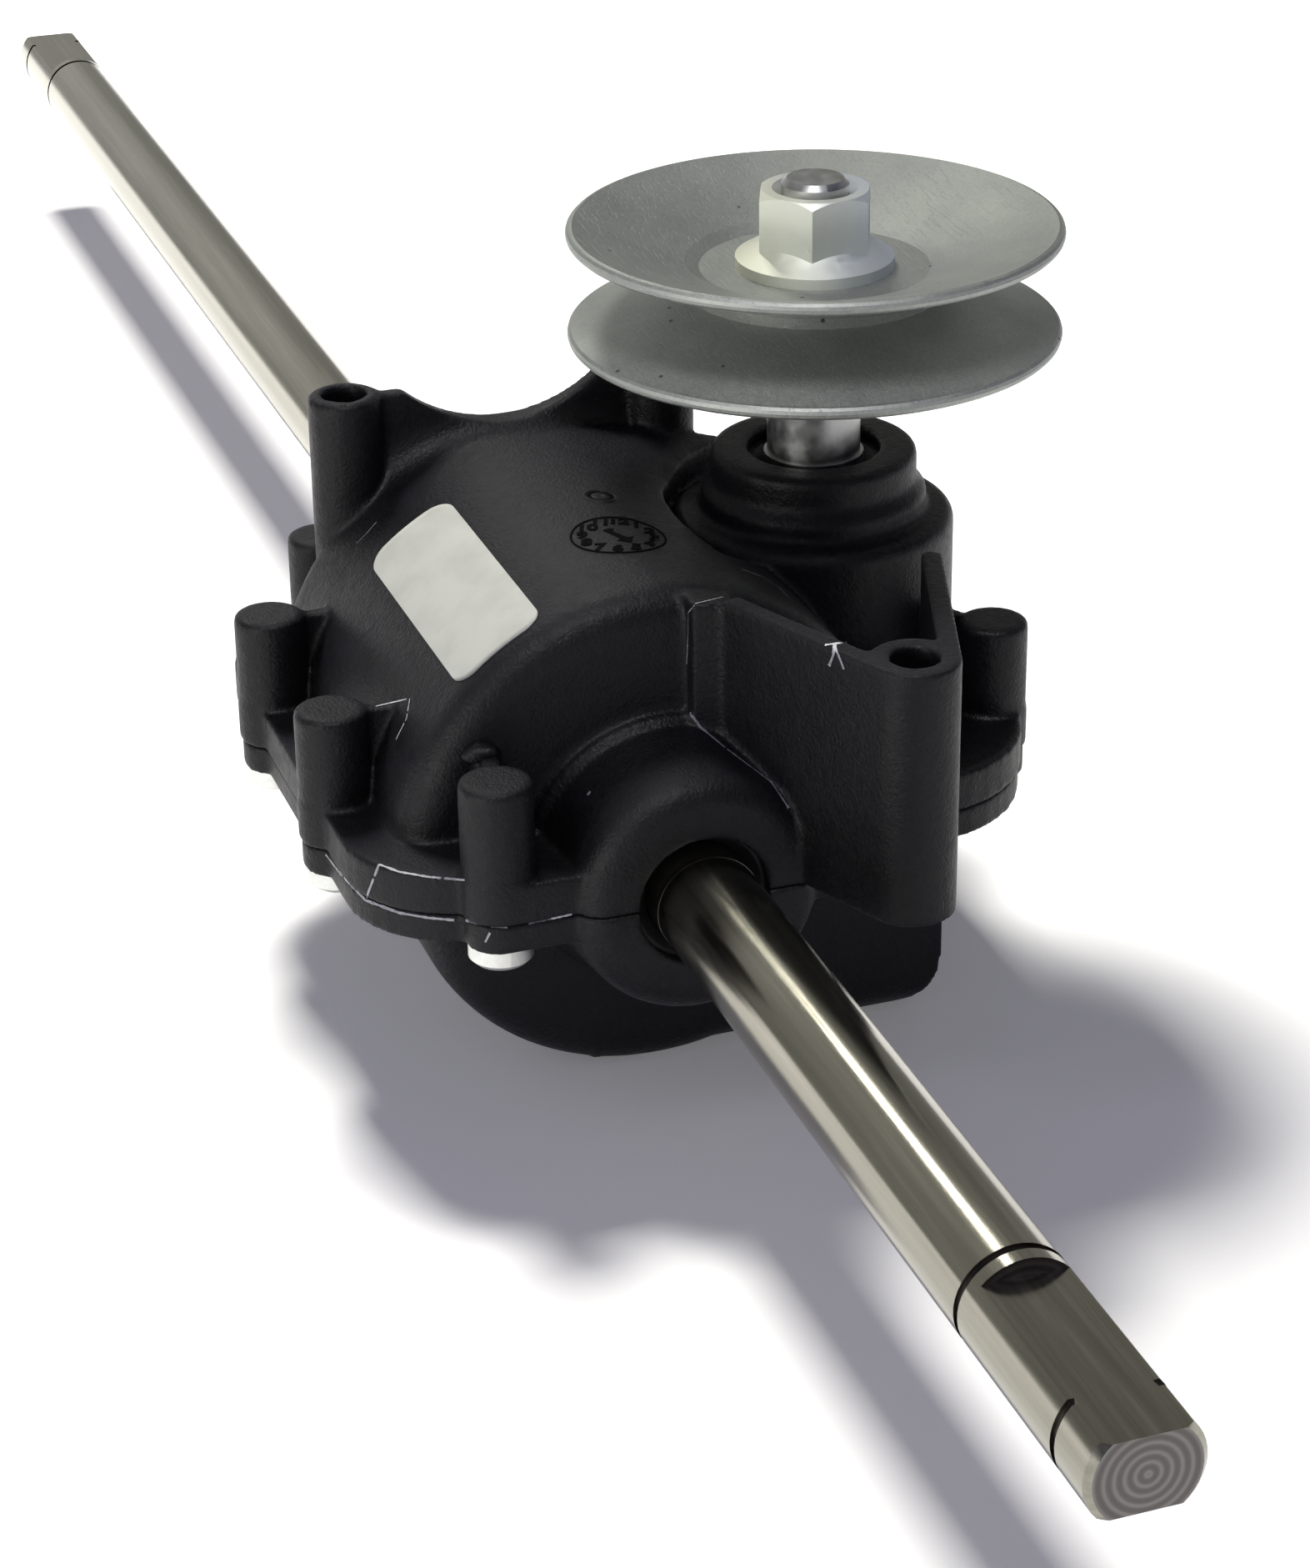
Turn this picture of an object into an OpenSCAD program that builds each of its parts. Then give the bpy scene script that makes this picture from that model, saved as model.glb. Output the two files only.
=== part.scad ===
// Worm-drive transmission of a walk-behind lawn mower
// The axle lies along X, the input shaft stands along Z, and the origin is on the flat resting face
// below the crossing of the axle and the wheel's middle plane

/* [Axle] */
// Diameter of the axle at its bearings and seals
axle_d = 15; // [14.6:0.1:15.2]
// Diameter of the drawn bar outside the housing
axle_bar_d = 14.9; // [14:0.1:15]
// Height of the axle above the flat resting face
axle_height = 35.4; // [35:0.2:38]
// Distance from the input shaft to the near end of the axle
axle_near = 198.5; // [150:1:240]
// Distance from the input shaft to the far end of the axle
axle_far = 401.5; // [250:1:450]
// Length of the two flats at each end
flat_length = 32; // [20:1:36]
// Distance across the two flats
flat_across = 10; // [8:0.2:12]
// Width of the retaining grooves
groove_width = 1.2; // [0.8:0.1:1.6]
// Depth of the retaining grooves
groove_depth = 0.6; // [0.4:0.1:1]
// Distance from the axle's end to its outer groove
end_groove = 9; // [6:0.5:12]
// Distance from the flats to the inner groove
shoulder_groove = 2; // [1.5:0.5:4]

/* [Gearing] */
// Distance between the axle and the input shaft
centre_distance = 39.7; // [39.2:0.1:40.2]
// Axial module of the worm
tooth_module = 2; // [1.9:0.05:2.05]
// Starts of the worm
worm_starts = 2; // [2:1:2]
// Teeth of the wheel
wheel_teeth = 29; // [29:1:29]
// Length of the worm's thread
worm_length = 30; // [26:1:34]
// Width of the wheel's toothed ring
wheel_width = 12; // [10:0.5:14]
// Play left between the worm's thread and the wheel's teeth along the pitch line
backlash = 0.6; // [0.4:0.05:1]
// Outer diameter of the wheel's hub disc, on which the toothed ring sits
ring_bore_d = 41; // [38:1:44]
// Outer diameter of the wheel's hub
hub_d = 26; // [24:1:32]
// Length of the wheel's hub
hub_length = 22; // [16:1:26]
// Thickness of the hub's disc
hub_disc = 8; // [6:0.5:10]
// Side of the square key between hub and axle
key_side = 4; // [3:0.5:5]
// Length of the key
key_length = 16; // [10:1:16]
// Outer diameter of the spacing tubes on the axle
spacer_d = 19; // [18:0.5:20]

/* [Input shaft] */
// Diameter of the input shaft at its upper bearing
shaft_d = 15; // [14.6:0.1:15.2]
// Diameter of the input shaft where it shows under the pulley
shaft_neck_d = 14; // [13:0.1:14.4]
// Diameter of the input shaft at its lower bearing
shaft_foot_d = 12; // [11.6:0.1:12.4]
// Diameter of the shaft's collar under the upper bearing
shaft_collar_d = 20; // [18:0.5:22]
// Diameter of the pulley's seat on the shaft
pulley_seat_d = 12; // [11.6:0.1:12.6]
// Distance across the flats of the pulley's seat
pulley_seat_across = 10.2; // [10.1:0.1:11]
// Diameter of the thread for the pulley nut
thread_d = 10; // [9:0.5:10]
// Height of the shaft's top above the axle
shaft_top = 81.2; // [80:0.1:86]

/* [Pulley] */
// Outer diameter of the pulley discs
pulley_d = 73.1; // [66:0.5:80]
// Thickness of the pulley discs
pulley_sheet = 2; // [1.5:0.1:2.2]
// Height of the plane where the two discs meet, above the axle
pulley_mid = 65.9; // [65:0.5:70]
// Diameter at the bottom of the belt groove
groove_root_d = 39; // [36:0.5:44]
// Half of the angle of the belt groove, in degrees
groove_half_angle = 18; // [16:0.5:20]
// Diameter of the recess that the nut sits in
nut_recess_d = 34; // [30:0.5:35]
// Depth of that recess below the foot of the upper disc's cone
nut_recess = 0.7; // [0.4:0.1:1]
// Distance across the flats of the pulley nut
nut_across = 15.8; // [14:0.1:17]
// Height of the pulley nut
nut_height = 11.8; // [10:0.1:12]
// Depth of the countersink round the nut's thread
nut_countersink = 1.3; // [0.6:0.1:1.6]
// Diameter of the nut's flange
nut_flange_d = 23.4; // [21:0.1:25]
// Thickness of the nut's flange at its rim
nut_flange = 1.6; // [1:0.1:2.5]

/* [Bearings and seals] */
// Outer diameter of the axle bearings
axle_bearing_d = 32; // [30:0.5:33]
// Width of the axle bearings
axle_bearing_w = 9; // [8:0.5:10]
// Outer diameter of the upper shaft bearing
upper_bearing_d = 32; // [30:0.5:32]
// Width of the upper shaft bearing
upper_bearing_w = 8; // [7:0.5:8]
// Outer diameter of the lower shaft bearing
lower_bearing_d = 32; // [30:0.5:33]
// Width of the lower shaft bearing
lower_bearing_w = 10; // [9:0.5:11]
// Balls in each bearing
ball_count = 8; // [6:1:9]
// Outer diameter of the axle seals
axle_seal_d = 30; // [28:0.5:31]
// Width of the axle seals
axle_seal_w = 7; // [5:0.5:7]
// Outer diameter of the shaft seal
shaft_seal_d = 26; // [24:0.5:27]
// Width of the shaft seal
shaft_seal_w = 7; // [5:0.5:7]
// Wall of the seals' outer ring
seal_wall = 1.6; // [1.2:0.1:2]
// Thickness of the two retaining rings
circlip_t = 1; // [0.8:0.1:1.2]
// Outer diameter of the shaft's retaining ring
circlip_d = 21; // [19:0.5:22]
// Outer diameter of the washer over the lower bearing
shim_d = 17; // [15:0.5:18]
// Thickness of the washer over the lower bearing
shim_t = 0.5; // [0.3:0.1:1]

/* [Housing] */
// Distance from the input shaft to the middle of the gear drum, along the axle
drum_centre = 6; // [4:0.5:8]
// Length of the gear drum
drum_length = 72; // [62:1:84]
// Diameter of the upper half of the gear drum
drum_d = 76.4; // [76:0.2:80]
// Clearance between the wheel's teeth and the wall round them
wheel_room = 0.9; // [0.7:0.1:1.4]
// Thickness of the lower half drum's wall
belly_wall = 4.6; // [3.8:0.1:5]
// Round of the drum's end edges
drum_round = 5; // [3:0.5:6]
// Wall of the housing
wall = 3; // [2.6:0.1:3.2]
// Length of each axle collar beyond the end of the drum
collar_length = 18.8; // [16:0.2:22]
// Diameter of the axle collars near their faces
collar_d = 36; // [35:0.5:38]
// Diameter of the axle collars at the drum
collar_root_d = 38.8; // [38:0.5:41]
// Diameter of the low step between drum and collar
collar_step_d = 41.2; // [40:0.5:44]
// Height of that step along the axle
collar_step = 2; // [1:0.5:3]
// Round of the axle collars' outer edge
collar_round = 4.4; // [2:0.2:4.6]
// Diameter of the opening around the axle
axle_opening_d = 19; // [17:0.5:22]
// Outer diameter of the worm tower
tower_d = 42.4; // [42:0.2:46]
// Height of the tower's shoulder above the axle
tower_height = 30.3; // [29.9:0.1:32]
// Height above the axle of the dish that is cut into the drum round the tower
dish_floor = 27.8; // [27.6:0.1:29]
// Slope of that dish, in degrees
dish_slope = 31; // [26:1:36]
// Width of the dish's narrow moat, on the pulley's far side
moat_w = 0.8; // [0.6:0.1:2]
// Direction across the shaft in which the dish gets wider, in degrees
moat_turn = 55; // [45:1:60]
// Radius of the arched roof between the rear posts and the tower
roof_r = 110; // [100:1:125]
// Diameter of the band at the foot of the tower's neck
band_d = 34; // [33.4:0.2:36]
// Height of that band above the tower's shoulder
band_height = 2.9; // [2:0.1:3.4]
// Outer diameter of the tower's neck
neck_d = 31; // [30:0.5:33]
// Height of the tower's neck above the axle
neck_height = 39.9; // [39.5:0.1:42]
// Diameter of the opening around the input shaft
shaft_opening_d = 20; // [18:0.5:22]
// Thickness of the upper flange
upper_flange = 6; // [4:0.5:8]
// Thickness of the lower flange
lower_flange = 4.5; // [3:0.5:6]
// Radius of the flange's corners beside the drum
drum_corner_r = 17.2; // [14:0.2:20]
// Distance from the drum's end to the centre of those corners, along the axle
drum_corner_inset = 6; // [4:0.5:10]
// Distance from the axle to the centre of those corners
drum_corner_y = 28; // [26:0.5:30]
// Radius of the flange's corners beside the worm
worm_corner_r = 20.8; // [18:0.2:22]
// Distance from the input shaft to the centre of those corners
worm_corner_x = 27.5; // [24:0.5:29]
// Outer diameter of the lower cover's pod under the worm
pod_d = 39.4; // [38.5:0.2:42]
// Distance from the axle to the lower cover's wall on the worm's side
tub_side = 44; // [43:0.5:48]
// Radius of the lower cover's long bottom edge
tub_round = 8.4; // [6:0.2:9]

/* [Cover screws] */
// Diameter of the pillars that take the cover screws
pillar_d = 10.4; // [9:0.1:11]
// Height of those pillars above the axle
pillar_height = 20; // [17:0.5:24]
// Diameter of the round lobes of the flange at the pillars
lobe_d = 10.8; // [10:0.1:12]
// Distance from the axle to the screws along the drum
side_screw_y = 42.4; // [41:0.1:43]
// Distance from the middle of the drum to the nearer of these screws, along the axle
side_screw_near = 16.8; // [14:0.1:20]
// Distance from the middle of the drum to the farther of these screws, along the axle
side_screw_far = 18.5; // [14:0.1:22]
// Distance from the axle to the screws beside the collars
end_screw_y = 27.3; // [26:0.1:29]
// Distance from the drum's near end to the screws beside the near collar
end_screw_near = 10.8; // [9:0.1:12]
// Distance from the drum's far end to the screws beside the far collar
end_screw_far = 9.4; // [8:0.1:11]
// Distance from the axle to the screws beside the worm
worm_screw_y = 57.2; // [56:0.1:59]
// Distance from the input shaft to the screws beside the worm, along the axle
worm_screw_x = 28; // [26:0.1:30]
// Diameter of the cover screws
screw_d = 5; // [4:0.1:5]
// Diameter of the screw heads
screw_head_d = 9.2; // [8:0.1:10]
// Height of the screw heads
screw_head = 3; // [2:0.1:3.5]
// Length of the cover screws under their heads
screw_length = 18; // [12:1:20]
// Diameter of the dowel pins
dowel_d = 4; // [3:0.1:4]
// Length of the dowel pins
dowel_length = 8; // [6:0.5:8]

/* [Mounting posts] */
// Diameter of the two posts behind the drum
post_d = 11.2; // [10:0.1:13]
// Height of the two posts above the axle
post_height = 46.6; // [42:0.1:50]
// Distance from the axle to each of the two posts
post_y = 25; // [22:0.1:26]
// Distance from the drum's far end in to the two posts, along the axle
post_inset = 1.2; // [0:0.1:3]
// Thickness of the web between the two posts
web_t = 3.2; // [2.6:0.1:5]
// Height of the web above the axle at the bottom of its hollow
web_low = 39.7; // [39.2:0.1:43]
// Radius of the web's hollow
web_hollow_r = 23.5; // [20:0.5:28]
// Radius of the fillet between the web and the drum
web_fillet = 5; // [3:0.5:6]
// Diameter of the post on the side bracket
bracket_post_d = 12.6; // [11:0.1:14]
// Height of the side bracket above the axle
bracket_height = 37.8; // [34:0.1:40]
// Distance from the drum's near end to the bracket's post, along the axle
bracket_reach = 30; // [26:0.1:34]
// Distance from the axle to the bracket's post
bracket_y = 25.8; // [24:0.1:28]
// Thickness of the bracket's walls
bracket_wall = 3; // [2.4:0.1:4]
// Diameter of the pilot holes for the mounting screws
mount_hole_d = 6.8; // [6:0.1:7.2]
// Depth of the pilot holes for the mounting screws
mount_hole_depth = 25; // [15:1:28]
// Thickness of the gusset ribs
rib_t = 2.6; // [2:0.1:4]

/* [Hidden] */

// Overrun of every cut past the surface that it opens
over = 0.5;
// Radial clearance of a seated or turning fit
fit = 0.02;
// Radial clearance between a sealing lip and its shaft
lip_fit = 0.04;
// Play of a screw or pin in its hole, on the radius
screw_play = 0.15;
// Small chamfer on turned ends
chamfer = 0.8;
// Fine chamfer on seats and pins
fine_chamfer = 0.4;
// Edge round on moulded bosses
boss_round = 0.9;
// Step between the edges of the two flanges
flange_step = 0.35;
// Faces of the round housing forms
round_fn = 96;
// Faces of the small turned pieces
small_fn = 48;

// Worm and wheel
axial_pitch = PI * tooth_module;
lead = axial_pitch * worm_starts;
wheel_pitch_r = tooth_module * wheel_teeth / 2;
worm_pitch_r = centre_distance - wheel_pitch_r;
addendum_share = 0.95;
dedendum_share = 1.22;
worm_tip_r = worm_pitch_r + addendum_share * tooth_module;
worm_root_r = worm_pitch_r - dedendum_share * tooth_module;
// Radius of the relief necks beside the worm
worm_core_r = worm_root_r - 1.5 * chamfer;
wheel_tip_r = wheel_pitch_r + addendum_share * tooth_module;
wheel_root_r = wheel_pitch_r - dedendum_share * tooth_module;
pressure_angle = 20;
// Share of the backlash taken from each worm thread, the rest from the wheel's teeth
worm_backlash_share = 0.5;
worm_thread = axial_pitch / 2 - backlash * worm_backlash_share;
wheel_tooth = axial_pitch / 2 - backlash * (1 - worm_backlash_share);
worm_slices_per_turn = 18;
wheel_slices = 3;
// Turn that puts a gap between two teeth opposite a worm thread
wheel_phase = 180 / wheel_teeth;

// Housing stations, along X for the axle and along Z for the input shaft
drum_near = drum_centre + drum_length / 2;
drum_far = drum_centre - drum_length / 2;
collar_span = drum_length + 2 * collar_length;
collar_face = collar_span / 2;
seat_lip = 1;
seal_outer_face = collar_face - 2.4;
seal_inner_face = seal_outer_face - axle_seal_w;
bearing_outer_face = seal_inner_face - seat_lip;
bearing_inner_face = bearing_outer_face - axle_bearing_w;
cavity_end = drum_length / 2 - wall;
cavity_r = wheel_tip_r + wheel_room;
belly_d = 2 * (cavity_r + belly_wall);
bearing_shoulder_r = axle_bearing_d / 2 - 2;
near_race_x = drum_centre + bearing_inner_face;
far_race_x = drum_centre - bearing_inner_face;

upper_seat_top = tower_height - seat_lip;
upper_seat_foot = upper_seat_top - upper_bearing_w;
ring_groove_foot = upper_seat_foot - circlip_t - fit;
ring_groove_r = upper_bearing_d / 2 + 2 * groove_depth;
shaft_seal_foot = neck_height - 2 - shaft_seal_w;
lower_seat_foot = wall - axle_height;
lower_seat_top = lower_seat_foot + lower_bearing_w;
worm_cavity_r = upper_bearing_d / 2 + fit;

side_y = side_screw_y;
flange_side_y = drum_corner_y + drum_corner_r;
end_plate_x = lobe_d / 2;
near_side_x = drum_centre + side_screw_near;
far_side_x = drum_centre - side_screw_far;
near_end_x = drum_near + end_screw_near;
far_end_x = drum_far - end_screw_far;
post_x = drum_far + post_inset;
bracket_x = drum_near + bracket_reach;
drum_corner_x = drum_length / 2 - drum_corner_inset;
screws = [[near_end_x, -end_screw_y], [near_side_x, -side_screw_y],
          [far_side_x, -side_screw_y], [far_end_x, -end_screw_y],
          [far_end_x, end_screw_y], [-worm_screw_x, worm_screw_y],
          [worm_screw_x, worm_screw_y], [near_end_x, end_screw_y]];
posts = [[post_x, -post_y], [post_x, post_y]];
dowels = [[drum_near - drum_corner_r / 2, -flange_side_y + dowel_d],
          [-worm_corner_x, flange_side_y - dowel_d / 2]];

housing_black = [0.10, 0.10, 0.11];
zinc = [0.70, 0.72, 0.74];
steel = [0.62, 0.61, 0.57];
bright_steel = [0.78, 0.78, 0.79];
bronze = [0.72, 0.53, 0.28];
rubber_black = [0.06, 0.06, 0.07];

// Points of an arc, with its ends
function arc(centre, r, from, to, steps = 6) =
    [for (i = [0 : steps]) centre + r * [cos(from + (to - from) * i / steps), sin(from + (to - from) * i / steps)]];

// Turns a profile of [radius, place along the axle] about the axle
module about_axle() {
    translate([0, 0, axle_height])
        rotate([0, 90, 0])
            rotate_extrude($fn = round_fn)
                children();
}

// Turns a profile of [radius, height above the axle] about the input shaft
module about_shaft(faces = round_fn) {
    translate([0, centre_distance, axle_height])
        rotate_extrude($fn = faces)
            children();
}

// Mirrors the near end of the housing to its far end
module at_both_ends() {
    translate([drum_centre, 0, 0])
        children();
    translate([drum_centre, 0, 0])
        mirror([1, 0, 0])
            children();
}

// Keeps what lies above or below the plane where the housing parts
half_size = 2 * (collar_span + centre_distance + tower_d);
module upper_half() {
    intersection() {
        children();
        translate([-half_size / 2, -half_size / 2, axle_height])
            cube([half_size, half_size, half_size]);
    }
}
module lower_half() {
    intersection() {
        children();
        translate([-half_size / 2, -half_size / 2, axle_height - half_size])
            cube([half_size, half_size, half_size]);
    }
}

// Drum with rounded end edges
module drum_profile(r, edge) {
    polygon(concat([[0, drum_far]],
                   arc([r - edge, drum_far + edge], edge, -90, 0),
                   arc([r - edge, drum_near - edge], edge, 0, 90),
                   [[0, drum_near]]));
}

// Near axle collar, measured from the middle of the drum
module collar_profile() {
    step_face = drum_length / 2 + collar_step;
    polygon(concat([[0, cavity_end]],
                   [[collar_step_d / 2, cavity_end]],
                   arc([collar_step_d / 2 - collar_step / 2, step_face - collar_step / 2], collar_step / 2, 0, 90),
                   [[collar_root_d / 2, step_face]],
                   arc([collar_d / 2 - collar_round, collar_face - collar_round], collar_round, 0, 90),
                   [[0, collar_face]]));
}

// Outline of the flanges with their lobes, drawn in by an inset
module flange_outline(inset = 0) {
    union() {
        polygon(concat(
            arc([drum_centre + drum_corner_x, -drum_corner_y], drum_corner_r - inset, -90, 0, 10),
            arc([worm_corner_x, centre_distance], worm_corner_r - inset, 0, 90, 10),
            arc([-worm_corner_x, centre_distance], worm_corner_r - inset, 90, 180, 10),
            arc([drum_centre - drum_corner_x, -drum_corner_y], drum_corner_r - inset, 180, 270, 10)));
        translate([far_end_x - end_plate_x + inset, -end_screw_y])
            square([near_end_x - far_end_x + 2 * (end_plate_x - inset), 2 * end_screw_y]);
        for (s = screws)
            translate(s)
                circle(d = lobe_d - 2 * inset, $fn = small_fn);
    }
}

// Pillar with a rounded top, from the parting plane up
module round_top_post(d, h) {
    translate([0, 0, axle_height])
        rotate_extrude($fn = small_fn)
            polygon(concat([[0, 0], [d / 2, 0]],
                           arc([d / 2 - boss_round, h - boss_round], boss_round, 0, 90, 3),
                           [[0, h]]));
}

module tower() {
    shoulder_round = 2.2 * boss_round;
    neck_round = 1.4 * boss_round;
    band_slope = 1.3 * (band_d - neck_d) / 2;
    about_shaft()
        polygon(concat([[0, 0], [tower_d / 2, 0]],
                       arc([tower_d / 2 - shoulder_round, tower_height - shoulder_round], shoulder_round, 0, 90),
                       arc([band_d / 2 + boss_round, tower_height + boss_round], boss_round, 270, 180, 4),
                       [[band_d / 2, tower_height + band_height], [neck_d / 2, tower_height + band_height + band_slope]],
                       arc([neck_d / 2 - neck_round, neck_height - neck_round], neck_round, 0, 90, 4),
                       [[0, neck_height]]));
}

// Dish cut into drum and roof, so that the tower's shoulder stands free of them: wide on the near side,
// a narrow moat on the far side
module tower_dish() {
    dish_r = drum_d / 2;
    shift = dish_r - tower_d / 2 - moat_w;
    intersection() {
        about_shaft()
            polygon([[neck_d / 2, dish_floor], [tower_d / 2, dish_floor],
                     [dish_r, dish_floor + (dish_r - tower_d / 2) * tan(dish_slope)],
                     [dish_r, drum_d], [neck_d / 2, drum_d]]);
        translate([shift * cos(moat_turn), centre_distance + shift * sin(moat_turn), axle_height])
            cylinder(r = dish_r, h = drum_d + over, $fn = round_fn);
    }
}

// Arched roof that falls from the rear posts to the tower, and runs into the drum beside it
module roof() {
    roof_edge = drum_round;
    places = [drum_far, drum_far + roof_edge, -tower_d / 4];
    radii = [roof_r, roof_r, drum_d / 2];
    drops = [roof_edge, 0, over];
    translate([0, 0, axle_height])
        hull()
            for (i = [0 : len(places) - 1])
                intersection() {
                    translate([places[i], 0, drum_d / 2 - radii[i] - drops[i]])
                        rotate([0, 90, 0])
                            cylinder(r = radii[i], h = over, $fn = 3 * round_fn);
                    translate([places[i] - over, 0, 0])
                        cube([3 * over, min(centre_distance, radii[i]) - drops[i], drum_d]);
                }
}

// Gusset from a pillar towards the middle of the housing
module gusset(place, towards, reach) {
    way = towards - place;
    turn = atan2(way[1], way[0]);
    translate([place[0], place[1], axle_height])
        rotate([0, 0, turn])
            translate([0, -rib_t / 2, 0])
                cube([reach, rib_t, pillar_height - boss_round]);
}

module gussets() {
    side_reach = side_y - sqrt(pow(drum_d / 2, 2) - pow(pillar_height, 2)) + wall / 2;
    for (x = [near_side_x, far_side_x])
        gusset([x, -side_screw_y], [x, 0], side_reach);
    for (x = [-worm_screw_x, worm_screw_x])
        gusset([x, worm_screw_y], [0, centre_distance], norm([worm_screw_x, worm_screw_y - centre_distance]) - tower_d / 2 + wall / 2);
    end_reach = norm([near_end_x, end_screw_y] - [drum_near, collar_d / 2]) + wall / 2;
    gusset([near_end_x, -end_screw_y], [drum_near - wall, -end_screw_y + wall], end_reach);
    for (y = [-end_screw_y, end_screw_y])
        gusset([far_end_x, y], [drum_far + wall, y], end_reach);
}

// Web with a hollow upper edge between the two rear posts, and its fillet on the drum
web_crest = post_height - 0.7 * boss_round;
module web_outline() {
    crest_round = 2 * boss_round;
    hollow_angle = acos((web_hollow_r - (web_crest - crest_round - web_low)) / (web_hollow_r + crest_round));
    crest_y = (web_hollow_r + crest_round) * sin(hollow_angle);
    crest_z = web_low + web_hollow_r - (web_hollow_r + crest_round) * cos(hollow_angle);
    polygon(concat([[-post_y, 0], [post_y, 0], [post_y, crest_z + crest_round]],
                   arc([crest_y, crest_z], crest_round, 90, 90 + hollow_angle, 4),
                   arc([0, web_low + web_hollow_r], web_hollow_r, 270 + hollow_angle, 270 - hollow_angle, 16),
                   arc([-crest_y, crest_z], crest_round, 90 - hollow_angle, 90, 4),
                   [[-post_y, crest_z + crest_round]]));
}
module post_web() {
    web_face = post_x + web_t / 2;
    translate([post_x - web_t / 2, 0, axle_height])
        rotate([90, 0, 90])
            linear_extrude(height = web_t)
                web_outline();
    intersection() {
        about_axle()
            polygon(concat([[drum_d / 2 - wall, web_face - over]],
                           [[drum_d / 2 - wall, web_face + web_fillet]],
                           arc([drum_d / 2 + web_fillet, web_face + web_fillet], web_fillet, 180, 270),
                           [[drum_d / 2 + web_fillet, web_face - over]]));
        translate([web_face - over, 0, axle_height])
            rotate([90, 0, 90])
                linear_extrude(height = web_fillet + 2 * over)
                    web_outline();
    }
}

// Side bracket: two walls that carry a post beside the worm
bracket_r = bracket_post_d / 2;
bracket_at = [bracket_x, bracket_y];
near_wall_turn = 22.4;
far_wall_turn = 161.1;
near_wall_out = [sin(near_wall_turn), -cos(near_wall_turn)];
far_wall_out = [sin(far_wall_turn), -cos(far_wall_turn)];
near_wall_end = bracket_at + bracket_r * near_wall_out;
far_wall_end = bracket_at + bracket_r * far_wall_out;
near_root_x = drum_near + 3.6;
near_root = [near_root_x, near_wall_end[1] - (near_wall_end[0] - near_root_x) * tan(near_wall_turn)];
far_root_x = tower_d * 0.28;
far_root = [far_root_x, far_wall_end[1] - (far_wall_end[0] - far_root_x) * tan(far_wall_turn)];
far_stop_x = drum_near - fine_chamfer * 2;
far_stop = [far_stop_x, far_wall_end[1] - (far_wall_end[0] - far_stop_x) * tan(far_wall_turn)];
step_root = [drum_near + wall * 0.8, near_root[1] - wall * 1.3];

module bracket() {
    near_in = -bracket_wall * near_wall_out;
    far_in = -bracket_wall * far_wall_out;
    translate([0, 0, axle_height]) {
        linear_extrude(height = bracket_height)
            polygon([near_root, near_wall_end, near_wall_end + near_in, near_root + near_in]);
        linear_extrude(height = bracket_height)
            polygon([far_wall_end, far_stop, far_stop + far_in, far_wall_end + far_in]);
        translate(far_stop + far_in / 2)
            cylinder(d = bracket_wall, h = bracket_height, $fn = small_fn);
        linear_extrude(height = 2 * upper_flange)
            polygon([far_stop, far_root, far_root + far_in, far_stop + far_in]);
        linear_extrude(height = upper_flange)
            polygon([near_root, near_wall_end, bracket_at, far_wall_end, far_root, [worm_corner_x, centre_distance]]);
        translate([bracket_x, bracket_y, 0])
            cylinder(d = bracket_post_d, h = bracket_height, $fn = small_fn);
    }
    intersection() {
        translate([0, 0, axle_height])
            linear_extrude(height = bracket_height)
                polygon([[drum_near - wall, step_root[1]], step_root, near_root,
                         near_root + near_in, [drum_near - wall, near_root[1] + wall]]);
        about_axle()
            square([drum_d / 2 - boss_round / 2, 2 * drum_near]);
    }
}

module mount_holes() {
    for (p = posts)
        translate([p[0], p[1], axle_height + post_height - mount_hole_depth])
            cylinder(d = mount_hole_d, h = mount_hole_depth + over, $fn = small_fn);
    translate([bracket_x, bracket_y, axle_height + bracket_height - mount_hole_depth])
        cylinder(d = mount_hole_d, h = mount_hole_depth + over, $fn = small_fn);
}

// Space for the gears, the bearings and the seals along the axle, from the middle of the drum
module axle_seats_profile() {
    bearing_r = axle_bearing_d / 2 + fit;
    seal_r = axle_seal_d / 2 + fit;
    polygon([[0, 0], [bearing_shoulder_r, 0], [bearing_shoulder_r, bearing_inner_face],
             [bearing_r, bearing_inner_face], [bearing_r, bearing_outer_face],
             [axle_seal_d / 2 - seal_wall, bearing_outer_face], [axle_seal_d / 2 - seal_wall, seal_inner_face],
             [seal_r, seal_inner_face], [seal_r, seal_outer_face],
             [axle_opening_d / 2, seal_outer_face], [axle_opening_d / 2, collar_face + over],
             [0, collar_face + over]]);
}

module axle_cavity() {
    translate([drum_centre, 0, 0])
        about_axle()
            polygon([[0, -cavity_end], [cavity_r, -cavity_end], [cavity_r, cavity_end], [0, cavity_end]]);
    at_both_ends()
        about_axle()
            axle_seats_profile();
}

module shaft_cavity() {
    seal_r = shaft_seal_d / 2 + fit;
    lower_r = lower_bearing_d / 2 + fit;
    about_shaft()
        polygon([[0, lower_seat_foot - shim_t], [lower_r - wall, lower_seat_foot - shim_t],
                 [lower_r - wall, lower_seat_foot], [lower_r, lower_seat_foot],
                 [lower_r, lower_seat_top], [lower_r, 0],
                 [worm_cavity_r, 0], [worm_cavity_r, ring_groove_foot], [ring_groove_r, ring_groove_foot],
                 [ring_groove_r, upper_seat_foot], [worm_cavity_r, upper_seat_foot], [worm_cavity_r, upper_seat_top],
                 [seal_r - seal_wall, upper_seat_top], [seal_r - seal_wall, shaft_seal_foot],
                 [seal_r, shaft_seal_foot], [seal_r, shaft_seal_foot + shaft_seal_w],
                 [shaft_opening_d / 2, shaft_seal_foot + shaft_seal_w],
                 [shaft_opening_d / 2, neck_height + over], [0, neck_height + over]]);
}

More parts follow.
